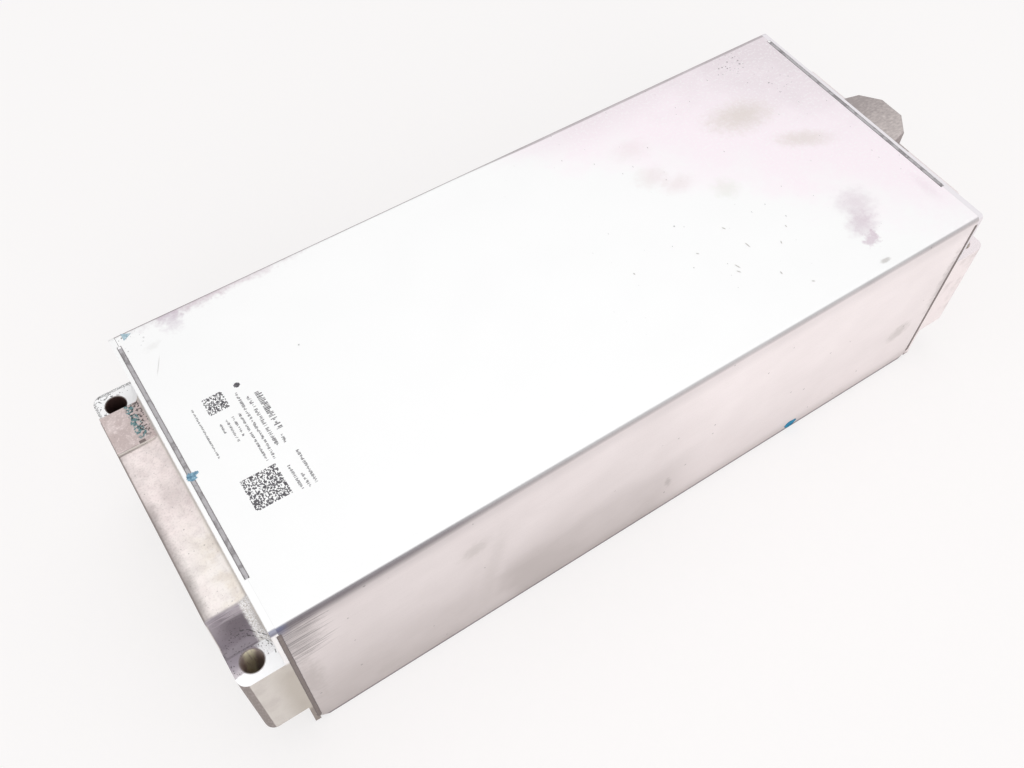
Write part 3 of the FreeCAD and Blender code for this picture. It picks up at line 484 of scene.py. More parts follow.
class CastGraph(Graph):
    """The nodes of a casting, with its noises and with places measured from its parts."""

    def __init__(self, plate: "CastFinish") -> None:
        """Add the noises, and the places from the rim, the outer face, the seats and a bolt hole.

        Args:
            plate: The casting's measures.
        """
        super().__init__(plate.name)
        self.out = self.x * plate.side
        self.past, self.inset, self.level = self.out - plate.rim, plate.outer - self.out, self.z - plate.seat
        self.along = self.x - plate.side * plate.bolt[0]
        self.radius = self.along.oval(abs(self.y) - plate.bolt[1], (1, 1))
        self.blotch, self.mottle, self.grit = self.noise(9, 6), self.noise(1.6, 6), self.noise(0.5, 3)


@dataclass(frozen=True)
class CastFinish(Finish):
    """Cast aluminium of an end plate: rough skin, machined seats and bores, dark shoulders, and painted shade
    at its outer edge, its pad's step, under its lug and along its foot.
    """

    side: int
    outer: float
    seat: float
    # whether the casting carries marks, crumbs and residue, and also painted shade, reflection and light
    stained_and_shaded: bool = True
    rim: float = 177.0
    lug_y: float = 62.0
    pad_start: float = 31.0
    boss_half: float = 18.3
    bolt: Span = (186.7, 66.8)
    bolt_radius: float = 4.5
    relief: float = 0.13
    cream: Colour = (0.99, 0.94, 0.905)
    pink: Colour = (0.93, 0.825, 0.81)
    yellow: Colour = (0.93, 0.83, 0.68)
    tan: Colour = (0.40, 0.36, 0.305)
    shade: Colour = (0.47, 0.39, 0.385)
    brown: Colour = (0.36, 0.31, 0.30)
    # painted shade along the outer edge of the top face
    verge_shade: Colour = (0.20, 0.17, 0.165)
    pad: Colour = (0.56, 0.465, 0.45)
    flank: Colour = (0.62, 0.59, 0.55)
    corner: Colour = (0.215, 0.185, 0.175)
    slope: Colour = (0.19, 0.162, 0.188)
    slope_dark: Colour = (0.135, 0.112, 0.13)
    seat_purple_grey: Colour = (0.33, 0.29, 0.33)
    seat_pale: Colour = (0.58, 0.53, 0.56)
    machined: Colour = (0.95, 0.95, 0.96)
    rim_face: Colour = (0.90, 0.90, 0.90)
    bore: Colour = (0.40, 0.32, 0.30)
    bore_far: Colour = (0.085, 0.045, 0.04)
    bore_bright: Colour = (0.85, 0.80, 0.72)
    # painted highlight on the seen wall of a near bolt hole
    bore_highlight: Colour = (0.90, 0.84, 0.64)
    end_skin: Colour = (0.66, 0.62, 0.60)
    edge: Colour = (0.20, 0.165, 0.155)
    # painted dark reflection on the rim, under the near bend of the sheet
    blue: Colour = (0.13, 0.135, 0.21)
    speck: Colour = (0.035, 0.03, 0.03)
    residue: Colour = (0.05, 0.21, 0.23)
    boss_dark: Colour = (0.36, 0.315, 0.31)
    boss_light: Colour = (0.66, 0.595, 0.575)

    def _graph(self) -> CastGraph:
        """The nodes with the casting's places and noises."""
        return CastGraph(self)

    def _looks(self, graph: CastGraph) -> dict[str, Any]:
        """The shader's inputs."""
        y, z, past, level, radius = graph.y, graph.z, graph.past, graph.level, graph.radius
        upward = graph.facing_z.rise(0.45, 0.8)
        colour = graph.blend(upward, self._flank(graph), self._skin(graph))
        if self.stained_and_shaded:
            colour = self._shoulder(graph, colour)
        rim = past.rise(0.25, 0.05) * level.rise(-2, 2)
        flat = level.within(-0.8, 0.15, 0.1) * abs(y).rise(self.lug_y - 0.5, self.lug_y) * upward
        colour = colour.under((rim, self.rim_face), (flat, self._seat(graph)))
        if self.stained_and_shaded:
            arcs = radius.within(9, 9.2, 0.2).larger(radius.within(10.3, 10.5, 0.2))
            arcs = arcs * past.rise(11, 7) * y.within(-69, -55, 1) * z.rise(98, 95)
            # painted dark reflection where the near bend of the sheet runs over the rim
            bend = y.rise(-73.3, -74.1) * z.rise(104.5, 106) * past.rise(0.2, 0)
            arcs = arcs * graph.noise(0.9, 3).rise(0.42, 0.54)
            colour = colour.under((arcs * 0.8, self.speck), (bend * 0.85, self.blue))
        machined = rim.larger(flat)
        return {
            "relief": (1 - machined) * (graph.grit * 0.5 + graph.mottle * 0.5),
            "depth": self.relief,
            "Base Color": self._bores(graph, colour),
            "Metallic": 0.16 + machined * 0.16,
            "Roughness": 0.6 - machined * 0.2 + graph.mottle.swing(0.2),
        }

    def _skin(self, graph: CastGraph) -> Tint:
        """Cast skin that faces up: cream near and beside the plate, pinkish beyond, with painted shade at its
        outer edge and a painted shadow line at the pad's step.
        """
        if not self.stained_and_shaded:
            return self._boss(graph)
        past, inset, y, blotch, mottle = graph.past, graph.inset, graph.y, graph.blotch, graph.mottle
        patches, fine = graph.noise(4, 6), graph.noise(0.8, 4)
        near = y.rise(4, -34)
        beside = past.rise(self.outer - self.rim - 5, 4)
        warm = near * (0.5 + beside * 0.4) + blotch.swing(1.2) + mottle.swing(0.5) + 0.2
        clouds = blotch.rise(0.46, 0.7) * 0.34 + patches.rise(0.42, 0.66) * 0.24 + fine.rise(0.48, 0.7) * 0.3
        dull = (past - 6.5).oval(y - 2.6, (4.5, 6)) + blotch.swing(3)
        # painted shade along the outer edge, strongest on the near half
        verge_shade = (inset - blotch.swing(3) - mottle.swing(2)).rise(5.5, 0)
        high = graph.level.rise(13, 14)
        # painted shadow line along the pad's step
        step_shadow_dash = past.within(5.5, 8, 0.2) * y.within(self.pad_start, 32.4, 0.2)
        step = y.within(self.pad_start - 0.5, self.pad_start + 0.1, 0.4) * (0.3 + past.rise(4, 13) * 0.4)
        return graph.blend(warm, self.pink, self.cream).under(
            (near * beside * blotch.rise(0.42, 0.6) * 0.4, self.yellow),
            (clouds * (0.85 - near * 0.3), self.shade),
            (dull.rise(1.6, 0.2) * 0.3, self.shade),
            (verge_shade * (y.within(-44, -8, 20) * 0.5 + 0.22), self.verge_shade),
            (verge_shade * near * graph.specks(0.9, 0.22, 0.5, graph.grit) * 0.5, self.edge),
            # painted shade on the rounded outer edge
            (inset.rise(1, 0.4) * 0.85, self.edge),
            (graph.specks(1.4, 0.17, 0.6, graph.grit) * mottle.rise(0.46, 0.54) * 0.5, self.edge),
            (past.rise(0.6, 0.35) * 0.7, self.edge),
            (y.within(self.pad_start, self.lug_y, 0.15) * high, self._pad(graph, patches, fine)),
            ((step + step_shadow_dash) * high, self.edge),
        )

    def _pad(self, graph: CastGraph, patches: Value, fine: Value) -> Tint:
        """Skin of the raised pad, with a trail of residue and crumbs beside the plate."""
        past, y, blotch, mottle = graph.past, graph.y, graph.blotch, graph.mottle
        trail = (past + mottle.swing(4)).within(4, 7, 0.5) * y.within(34, 53, 1.5)
        beside = (past + blotch.swing(5)).rise(7.5, 5.5) * y.rise(31, 36)
        pale = fine.rise(0.45, 0.75) * 0.5 + blotch + patches - 0.95
        return graph.blend(pale, self.pad, self.pink).under(
            (graph.specks(1.1, 0.16, 0.6, graph.grit) * mottle.rise(0.45, 0.55) * 0.6, self.edge),
            (trail * graph.noise(1.3, 4).rise(0.46, 0.52) * 0.85, self.residue),
            (graph.noise(1.1, 3).rise(0.53, 0.57) * beside * 0.85, self.speck),
        )

    def _boss(self, graph: CastGraph) -> Tint:
        """Pale casting with a brownish boss at its middle, streaked and lighter towards the near side."""
        streaks = graph.noise(1.1, 4, (0.5, 1.4, 1))
        light = graph.y.rise(15, -12) * 0.55 + graph.mottle.swing(1.1) + streaks.swing(1.3)
        end = graph.inset.rise(1.2, 0.4) * 0.7
        boss = graph.blend(light, self.boss_dark, self.boss_light).under((end, self.edge))
        pale = graph.blend(graph.grit.rise(0.4, 0.75) * 0.4, self.flank, self.pink)
        return pale.under((abs(graph.y).rise(self.boss_half + 0.4, self.boss_half + 0.1), boss))

    def _flank(self, graph: CastGraph) -> Tint:
        """Upright skin: greenish grey on a lug's side, rough and brown at its corner, tan by the seam, with
        painted shade on its rounded crest, on the rim under the lug and along the foot.
        """
        past, level, z, blotch, grit = graph.past, graph.level, graph.z, graph.blotch, graph.grit
        turn = abs(graph.facing_y)
        outward = abs(graph.facing_x).rise(0.85, 0.97) * past.rise(2, 3)
        end = graph.blend(blotch.rise(0.35, 0.75) * 0.35 + grit.swing(0.3), self.end_skin, self.shade)
        plain = graph.blend(blotch.rise(0.45, 0.75) * 0.3 + grit.swing(0.4), self.flank, self.brown)
        colour = plain.under((outward, end))
        if self.stained_and_shaded:
            beside = (past + blotch.swing(8)).rise(10, 1) * z.rise(86, 60)
            # painted shade on the rounded crest of the outer face and on the rim under the lug
            crest = graph.inset.rise(1, 0.3) * level.rise(13, 14.4)
            under = past.rise(0.3, 0) * z.rise(21, 17)
            crest_and_underlug_shade = (crest * 0.85).larger(under * 0.7)
            colour = colour.under((beside * 0.6, self.tan), (crest_and_underlug_shade, self.edge))
        else:
            colour = colour.under((abs(graph.y).rise(self.boss_half + 0.4, self.boss_half), self.boss_dark))
        turned = turn.rise(0.975, 0.95) * turn.rise(0.02, 0.15) * level.rise(0.2, -0.4)
        hatch = graph.noise(0.7, 3, (1, 1, 0.3)).rise(0.45, 0.7)
        above = level.rise(-1, 2) * past.rise(0.3, 0)
        return colour.under(
            (turned * 0.95, graph.blend(hatch * 0.5, self.corner, self.brown)),
            # painted contact shadow along the foot
            (z.rise(3, 0.5) * 0.6, self.edge),
            (above, self.rim_face),
        )

    def _shoulder(self, graph: CastGraph, colour: Tint) -> Tint:
        """Dark purple-grey on the slope above the near seat, scored along X and lighter beside the plate,
        with painted light on the crease at its foot.
        """
        past, level, y, z, mottle = graph.past, graph.level, graph.y, graph.z, graph.mottle
        steep = y.rise(-49.8, -51.4) * y.rise(-self.lug_y - 2, -self.lug_y - 1.6)
        steep = steep * graph.facing_z.rise(0.2, 0.35) * level.rise(-0.5, 0) * past.rise(0, 0.1)
        scored = graph.noise(0.7, 3, (0.06, 1, 1)).rise(0.42, 0.58)
        heart = ((past - 8.5).oval(z - 85.5, (6.5, 4.5)) + mottle.swing(1.6)).rise(1.5, 0.4)
        pale = (z.rise(80, 90) * past.rise(9, 19) * 0.3).larger(z.rise(86.5, 90) * (0.1 + scored * 0.4))
        purple_grey = graph.blend(heart + mottle.swing(0.4), self.slope, self.slope_dark).under(
            (pale, self.seat_pale),
            (self._pepper(graph), self.speck),
            # painted light that lifts the crease at the foot of the slope
            (level.rise(3, 0.6) * 0.1, self.seat_pale),
        )
        beside = steep * (past + mottle.swing(1.6)).rise(5, 3.4)
        return colour.under(
            (steep, purple_grey),
            (beside * 0.8, graph.blend(graph.grit.rise(0.42, 0.6), self.rim_face, self.flank)),
            (beside * graph.specks(0.8, 0.3, 0.4, graph.grit) * 0.7, self.edge),
        )

    def _seat(self, graph: CastGraph) -> Tint:
        """Machined seat: bright, with a purple-grey patch, specks and cutter marks on the near one."""
        past, y, mottle, grit = graph.past, graph.y, graph.mottle, graph.grit
        if not self.stained_and_shaded:
            return graph.blend(grit.rise(0.4, 0.8) * 0.3, self.machined, self.brown)
        near = y.rise(0, -1)
        border = y + mottle.swing(1.2) + (past - 18) * 0.12 + 69.8
        inner = near * border.rise(-0.25, 0.25)
        beside = (past + mottle.swing(3)).rise(7, 4.6)
        purple_grey = graph.blend((y + mottle.swing(3)).rise(-65, -69.5), self.seat_purple_grey, self.seat_pale)
        purple_grey = purple_grey.under((y.rise(-67, -62.5) * 0.45, self.slope))
        chips = graph.noise(1.1, 4).rise(0.55, 0.59) * graph.noise(4, 2).rise(0.42, 0.5)
        chips = abs(y).rise(70, 72.5).larger(past.rise(13, 15.5)) * chips
        crumbs = abs(y).rise(73.4, 74).larger(past.rise(16.5, 17.2)) * grit.rise(0.42, 0.5) * 0.7
        pepper = (self._pepper(graph) * inner).larger((1 - near) * chips.larger(crumbs))
        halo = graph.radius.within(self.bolt_radius, self.bolt_radius + 0.55, 0.1) * near
        return graph.blend(inner * (1.1 - beside * 0.95 + grit.swing(0.8)), self.machined, purple_grey).under(
            (pepper * 0.9, self.speck),
            (halo * 0.6, self.edge),
        )

    def _pepper(self, graph: CastGraph) -> Value:
        """Fine black grains, thickest about a bolt hole."""
        return graph.specks(0.8, 0.3, 0.7, graph.grit) * (graph.radius.rise(15, 9) * 0.7 + 0.1)

    def _bores(self, graph: CastGraph, colour: Tint) -> Tint:
        """Walls of the bolt holes, bright on the near half, with a painted highlight in the near holes, and
        their mouths.
        """
        y, level, radius = graph.y, graph.level, graph.radius
        near = y.rise(0, -1)
        inside = radius.rise(self.bolt_radius + 0.12, self.bolt_radius + 0.04) * level.rise(0.1, -0.2)
        hidden = (y + self.bolt[1]).rise(-1.5, -2.5) * near
        wall = graph.blend(y.rise(-10, 10), self.bore, self.bore_far).under((hidden, self.bore_bright))
        # painted highlight in a band down the seen wall of a near hole
        lean = graph.along - level * 0.13 - 0.5 + graph.mottle.swing(1)
        streaks = graph.noise(0.9, 3, (1, 1, 0.1)).rise(0, 0.5)
        glint = lean.within(-1.3, 1.3, 1.8) * streaks * near * (1 - hidden)
        ring = radius.within(self.bolt_radius - 0.05, self.bolt_radius + 0.3, 0.08)
        ring = ring * level.rise(-0.5, -0.3) * (0.85 if self.stained_and_shaded else 0.3)
        return colour.under((inside, wall), (inside * glint, self.bore_highlight), (ring, self.edge))


@dataclass(frozen=True)
class WeldFinish(Finish):
    """Dull grey laser weld with fine ripples, browner on the walls, with dark outlines along the bead."""

    joint: float
    half: float
    height: float
    run_end: float
    relief: float = 0.04
    metal: Colour = (0.43, 0.415, 0.43)
    cap_light: Colour = (0.92, 0.91, 0.92)
    wall_metal: Colour = (0.18, 0.15, 0.14)
    soot: Colour = (0.17, 0.155, 0.16)
    outline: Colour = (0.15, 0.13, 0.135)
    bright: Colour = (0.60, 0.59, 0.60)

    def _looks(self, graph: Graph) -> dict[str, Any]:
        """The shader's inputs."""
        patches = graph.noise(3.2, 5)
        ripple = graph.noise(0.4, 3)
        upper = graph.z.rise(self.height - 0.8, self.height - 0.4)
        aside = abs(abs(graph.x) - self.joint + ripple.swing(0.3))
        colour = graph.blend(upper, self.wall_metal, self.metal).under(
            (patches.rise(0.47, 0.6) * 0.65 * upper, self.soot),
            (ripple.rise(0.5, 0.7) * (0.15 + upper * 0.25), self.bright),
            (graph.y.rise(self.run_end - 1.5, self.run_end - 1.2) * upper, self.cap_light),
            (aside.rise(self.half * 0.5, self.half * 0.85) * 0.8, self.outline),
        )
        return {
            "relief": ripple,
            "depth": self.relief,
            "Base Color": colour,
            "Metallic": 0.35,
            "Roughness": 0.5 + patches.swing(0.3),
        }


@dataclass(frozen=True)
class GrainedFinish(Finish):
    """A plain material with cloudy colour and a fine relief: moulded plastic, foam, resin, foil or metal."""

    colour: Colour
    second: Colour
    grain: float
    relief: float
    roughness: float
    metallic: float = 0.0
    stretch: Point = (1, 1, 1)
    cloud: float = 12.0

    def _looks(self, graph: Graph) -> dict[str, Any]:
        """The shader's inputs."""
        cloud = graph.noise(self.cloud, 3)
        grain = graph.noise(self.grain, 3, self.stretch)
        share = cloud.rise(0.35, 0.65) * 0.6 + grain.rise(0.4, 0.7) * 0.4
        return {
            "relief": grain,
            "depth": self.relief,
            "Base Color": graph.blend(share, self.colour, self.second),
            "Metallic": self.metallic,
            "Roughness": self.roughness + grain.swing(0.25),
        }


@dataclass(frozen=True)
class StripFinish(Finish):
    """Amber film with copper tracks along it."""

    film: Colour = (0.42, 0.20, 0.03)
    track: Colour = (0.66, 0.36, 0.16)
    pitch: float = 1.3
    relief: float = 0.03

    def _looks(self, graph: Graph) -> dict[str, Any]:
        """The shader's inputs."""
        wave = graph.add("ShaderNodeMath", {"operation": "PINGPONG"}, {0: graph.y, 1: self.pitch / 2})
        tracks = Value(graph, wave.outputs[0]).rise(0.2 * self.pitch, 0.3 * self.pitch)
        return {
            "relief": tracks,
            "depth": self.relief,
            "Base Color": graph.blend(tracks, self.film, self.track),
            "Roughness": 0.35 + graph.noise(3) * 0.15,
        }


@dataclass(frozen=True)
class InkFinish(Finish):
    """Matt dark ink, thin in places."""

    ink: Colour = (0.075, 0.07, 0.08)
    thin: Colour = (0.24, 0.23, 0.25)

    def _looks(self, graph: Graph) -> dict[str, Any]:
        """The shader's inputs."""
        wear = graph.noise(1.5, 4)
        colour = graph.blend(wear.rise(0.45, 0.75), self.ink, self.thin)
        return {"Base Color": colour, "Roughness": 0.6 + wear.swing(0.2)}


def placed(name: str, data: bpy.types.ID) -> bpy.types.Object:
    """Add an object to the scene.

    Args:
        name: The object's name.
        data: Its mesh, camera or lamp.

    Returns:
        The object.
    """
    piece = bpy.data.objects.new(name, data)
    bpy.context.scene.collection.objects.link(piece)
    return piece


def dress(nodes: dict[str, bpy.types.Object], group: str, material: bpy.types.Material) -> None:
    """Give CAD nodes a material.

    Args:
        nodes: The frame's nodes by name.
        group: What the names of the nodes to dress start with.
        material: Their material.
    """
    for name, node in nodes.items():
        if name.startswith(group):
            for slot in node.material_slots:
                slot.material = material
            logger.info("%s wears %s", name, material.name)


class Draft:
    """Corners, in millimetres, and faces of a mesh in the making."""

    def __init__(self) -> None:
        """Start an empty mesh."""
        self.corners: list[Point] = []
        self.faces: list[Sequence[int]] = []

    def slab(self, x: Span, y: Span, z: Span) -> None:
        """Add a closed box.

        Args:
            x: Its span along X.
            y: Its span along Y.
            z: Its span along Z.
        """
        first = len(self.corners)
        self.corners += [(a, b, c) for c in z for b in y for a in x]
        for face in ((0, 2, 3, 1), (4, 5, 7, 6), (0, 1, 5, 4), (2, 6, 7, 3), (0, 4, 6, 2), (1, 3, 7, 5)):
            self.faces.append([first + corner for corner in face])

    def rings(self, loops: Sequence[Sequence[Point]]) -> None:
        """Add a closed skin over a stack of loops.

        Args:
            loops: Loops of equally many points, the first and the last closed by a face.
        """
        first, count = len(self.corners), len(loops[0])
        for loop in loops:
            self.corners += loop
        last = len(self.corners) - count
        for start in range(first, last, count):
            for i in range(count):
                a, b = start + i, start + (i + 1) % count
                self.faces.append((a, b, b + count, a + count))
        self.faces += [range(first + count - 1, first - 1, -1), range(last, last + count)]

    def finished(self, name: str, material: bpy.types.Material, smooth: bool = False) -> bpy.types.Object:
        """Turn the draft into an object that rides on the module.

        Args:
            name: The object's name.
            material: Its material.
            smooth: Whether its faces are shaded smooth.

        Returns:
            The object.
        """
        mesh = bpy.data.meshes.new(name)
        mesh.from_pydata([Vector(corner) * MM for corner in self.corners], [], self.faces)
        mesh.validate()
        mesh.materials.append(material)
        mesh.polygons.foreach_set("use_smooth", [smooth] * len(mesh.polygons))
        logger.info("%s has %d faces", name, len(mesh.polygons))
        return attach(placed(name, mesh), "root")


@dataclass(frozen=True)
class Case:
    """The welded case: channel, cover and weld seams."""

    nodes: dict[str, bpy.types.Object]

    def marks(self) -> tuple[Blot, ...]:
        """Stains, smudges and scratches on the top and the near wall, and painted shade along a crease of the
        wall.

        Returns:
            The marks, from the lowest up.
        """
        beige, smudge = (0.62, 0.56, 0.48), (0.54, 0.40, 0.49)
        grey, pink = (0.45, 0.42, 0.40), (0.68, 0.52, 0.53)
        top = (
            ((126, 34), (13, 7.5), beige, 0.52, -0.16, 0.9, 1.3),
            ((142, 5.8), (11, 4.2), beige, 0.42, -0.5, 0.9, 1.3),
            ((133.5, -38), (7, 7), smudge, 0.36, 0.2, 0.9, 1.5),
            ((127.4, -48.2), (6.5, 5.2), smudge, 0.5, 0.3, 0.8, 1.3),
            ((124.5, -57.5), (3.8, 2.8), smudge, 0.55, 0.4, 0.5, 3.2),
            ((121, -69.5), (2.4, 1.0), grey, 0.6),
            ((66, 25), (6, 5), pink, 0.26, 0.0, 0.9, 1.6),
            ((73.5, 15.2), (6, 4), pink, 0.24, 0.0, 0.9, 1.6),
            ((68, 44.5), (7, 5), pink, 0.16, 0.0, 0.9, 1.8),
            ((168, -48), (2.5, 7), smudge, 0.14, 0.0, 0.9, 2.0),
            ((90, 1), (5, 5), (0.66, 0.66, 0.56), 0.25, 0.0, 0.8, 1.6),
            ((-145, 75), (17, 4.0), (0.55, 0.45, 0.51), 0.5, 0.0, 0.8, 2.4),
            ((-118, 75), (24, 3.2), (0.62, 0.49, 0.55), 0.5, 0.0, 0.8, 2.6),
            ((-151, 71), (4, 6), (0.55, 0.46, 0.54), 0.5, 0.0, 0.8, 2.4),
            ((-164.4, 51.2), (0.2, 4.2), grey, 0.45, -0.485, 0.6, 0.8),
            ((-162.8, 61.3), (2.2, 1.6), grey, 0.13, 0.4, 0.9, 4.0),
        )
        wall = (
            ((-94, 77), (5.5, 4.5), grey, 0.4, 0.4, 0.8, 1.6),
            # painted shade along a crease of the wall
            ((-86, 48), (3.5, 24), grey, 0.22, -0.16, 0.8, 1.4),
            ((-140, 12), (6, 4), grey, 0.3),
            ((155, 36), (6, 5), grey, 0.45, 0.5, 0.7, 1.6),
            ((-172, 92), (9, 15), (0.27, 0.25, 0.25), 0.5, 0.0, 0.8, 1.6),
            ((-171, 50), (4.5, 18), (0.31, 0.28, 0.26), 0.36, 0.0, 0.8, 1.8),
            ((173, 65), (3, 20), (0.40, 0.36, 0.36), 0.5, 0.0, 0.7, 2.4),
            ((11, 25), (1.6, 4), (0.30, 0.27, 0.26), 0.4, 0.2, 0.6, 2.4),
        )
        dashes = (
            (74, -17, 0.9, 0.5), (76.5, -30, 1.5, 0.1), (65, -37, 1.3, 0.3), (63.5, -39.5, 0.9, 0.6),
            (90, -37, 0.8, -0.4), (98, -31, 0.7, 0.0), (55, -22, 0.6, 0.8), (25, -16, 0.6, 0.2),
            (87, -61, 0.8, 0.9), (78.5, -50, 0.7, -0.2),
        )
        return (
            *(Blot(Face.TOP, *row) for row in top),
            *(Blot(Face.WALL, *row) for row in wall),
            *(Blot(Face.TOP, (x, y), (0.3, half), grey, 0.8, turn, 0.5, 1.4) for x, y, half, turn in dashes),
        )

    def build(self) -> None:
        """Dress the channel, the cover and the seams."""
        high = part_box("housing_channel")[1] / MM
        sizes = (high.y, high.z, high.x)
        dress(self.nodes, "housing_channel", SheetFinish("satin_sheet", *sizes, self.marks()).material())
        dress(self.nodes, "cover_plate", SheetFinish("cover_sheet", *sizes).material())
        beads = WeldBeads(*high)
        dress(self.nodes, "weld_seams_cover", beads.finish("cover_weld").material())
        beads.build()


@dataclass(frozen=True)
class WeldBeads:
    """Rippled beads of weld metal at both ends of the case, in the grooves of the seams."""

    joint: float
    half_width: float
    height: float
    width: float = 2.0
    depth: float = 0.9
    crown: float = 0.08
    pitch: float = 0.5
    wander: float = 0.05
    top_run: Span = (-52.0, 68.5)
    side_run: Span = (4.6, 103.5)
    profile: tuple[Span, ...] = ((0.96, 0.45), (0.6, 0.9), (0.0, 1.0), (-0.6, 0.9), (-0.96, 0.45))
    seed: int = 5

    def finish(self, name: str) -> WeldFinish:
        """The looks of the beads, under a name of their own."""
        return WeldFinish(name, self.joint, self.width / 2, self.height, self.top_run[1])

    def build(self) -> None:
        """Lay all beads in place of the straight bars."""
        metal = self.finish("weld_metal").material()
        draw = random.Random(self.seed)
        start, stop = self.top_run
        low, high = self.side_run
        across, up = Vector((0, 1, 0)), Vector((0, 0, 1))
        for end, side in (("left", -1), ("right", 1)):
            beads = Draft()
            centre = side * self.joint
            self._run(beads, draw, Vector((centre, start, self.height)), across * (stop - start), up)
            for hand in (-1, 1):
                foot = Vector((centre, hand * self.half_width, low))
                self._run(beads, draw, foot, up * (high - low), across * hand)
            piece = beads.finished(f"weld_beads_{end}", metal, smooth=True)
            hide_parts(f"weld_seams_{end}")

    def _run(self, beads: Draft, draw: random.Random, start: Vector, along: Vector, out: Vector) -> None:
        """Lay one bead.

        Args:
            beads: The mesh that it joins.
            draw: Source of its unevenness.
            start: Where it starts, at the level of the sheet.
            along: The way from its start to its end.
            out: The direction out of the sheet.
        """
        aside = Vector((1, 0, 0))
        steps = round(along.length / self.pitch)
        phase = draw.uniform(0, math.tau)
        loops = []
        for step in range(steps + 1):
            sway = self.wander * (math.sin(step * 0.13 + phase) + math.sin(step * 0.37))
            spot = start + along * (step / steps) + aside * sway
            taper = min(1.0, 0.5 + 0.2 * min(step, steps - step))
            scallop = 0.72 + 0.28 * abs(math.sin(step * 0.8))
            crest = self.crown * taper * scallop * draw.uniform(0.9, 1.0)
            reach = self.width / 2 * taper * draw.uniform(0.88, 1.0)
            section = [(-1.0, 0.0), (-0.5, -self.depth), (0.5, -self.depth), (1.0, 0.0)]
            section += [(place, crest * share) for place, share in self.profile]
            loops.append([tuple(spot + aside * (reach * a) + out * b) for a, b in section])
        beads.rings(loops)


@dataclass(frozen=True)
class EndPlates:
    """The two castings that close the case."""

    nodes: dict[str, bpy.types.Object]
    seat_drop: float = 32.0

    def build(self) -> None:
        """Dress both castings."""
        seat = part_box("housing_channel")[1].z / MM - self.seat_drop
        left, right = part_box("end_plate_left")[0].x / MM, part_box("end_plate_right")[1].x / MM
        warm = CastFinish("casting_left", -1, -left, seat)
        grey = CastFinish(
            "casting_right",
            1,
            right,
            seat,
            stained_and_shaded=False,
            pink=(0.66, 0.60, 0.60),
            bore_far=(0.82, 0.77, 0.76),
            flank=(0.90, 0.83, 0.83),
            corner=(0.66, 0.60, 0.60),
            brown=(0.26, 0.225, 0.22),
            machined=(0.86, 0.79, 0.81),
            rim_face=(0.80, 0.77, 0.80),
            bore=(0.82, 0.77, 0.76),
        )
        dress(self.nodes, "end_plate_left", warm.material())
        dress(self.nodes, "end_plate_right", grey.material())


@dataclass(frozen=True)
class SealedParts:
    """Cells, pads, film, resin, carriers and links inside the case, and the parts at the terminals."""

    nodes: dict[str, bpy.types.Object]

    def build(self) -> None:
        """Dress every node with the finish of its group."""
        black, rolled = (0.008, 0.008, 0.009), (1, 0.03, 1)
        grained = {
            "pouch_cell": ("pouch_foil", (0.60, 0.61, 0.63), (0.70, 0.71, 0.73), 1.2, 0.1, 0.34, 0.85),
            "compression_pad": ("foam", (0.020, 0.022, 0.028), (0.045, 0.048, 0.056), 0.5, 0.2, 0.85),
            "insulating_film": ("film", (0.020, 0.065, 0.17), (0.030, 0.085, 0.21), 2.5, 0.05, 0.35),
            "thermal_resin": ("resin", (0.25, 0.29, 0.31), (0.33, 0.37, 0.39), 0.6, 0.15, 0.7),
            "busbar_carrier": ("carrier_plastic", (0.01, 0.01, 0.012), (0.022, 0.022, 0.026), 0.4, 0.03, 0.5),
            "end_insulator": ("insulator_plastic", (0.62, 0.58, 0.47), (0.70, 0.66, 0.55), 0.8, 0.03, 0.5),
            "busbar_left": ("copper", (0.62, 0.28, 0.15), (0.74, 0.37, 0.22), 0.3, 0.02, 0.33, 0.95, rolled),
            "terminal_block": ("terminal_plastic", (0.72, 0.13, 0.012), (0.82, 0.19, 0.025), 0.5, 0.04, 0.45),
            "terminal_nuts": ("plated_steel", (0.50, 0.50, 0.48), (0.64, 0.64, 0.61), 0.3, 0.02, 0.3, 1.0),
            "sense_connector": ("header_plastic", black, (0.018, 0.018, 0.02), 0.3, 0.02, 0.42),
            "sense_pins": ("tin_plate", (0.66, 0.66, 0.64), (0.76, 0.76, 0.74), 0.2, 0.01, 0.25, 1.0),
        }
        materials = {group: GrainedFinish(*looks).material() for group, looks in grained.items()}
        materials["sense_strip"] = StripFinish("strip_film").material()
        materials["busbar_right"] = materials["terminal_busbar"] = materials["busbar_left"]
        for group, material in materials.items():
            dress(self.nodes, group, material)


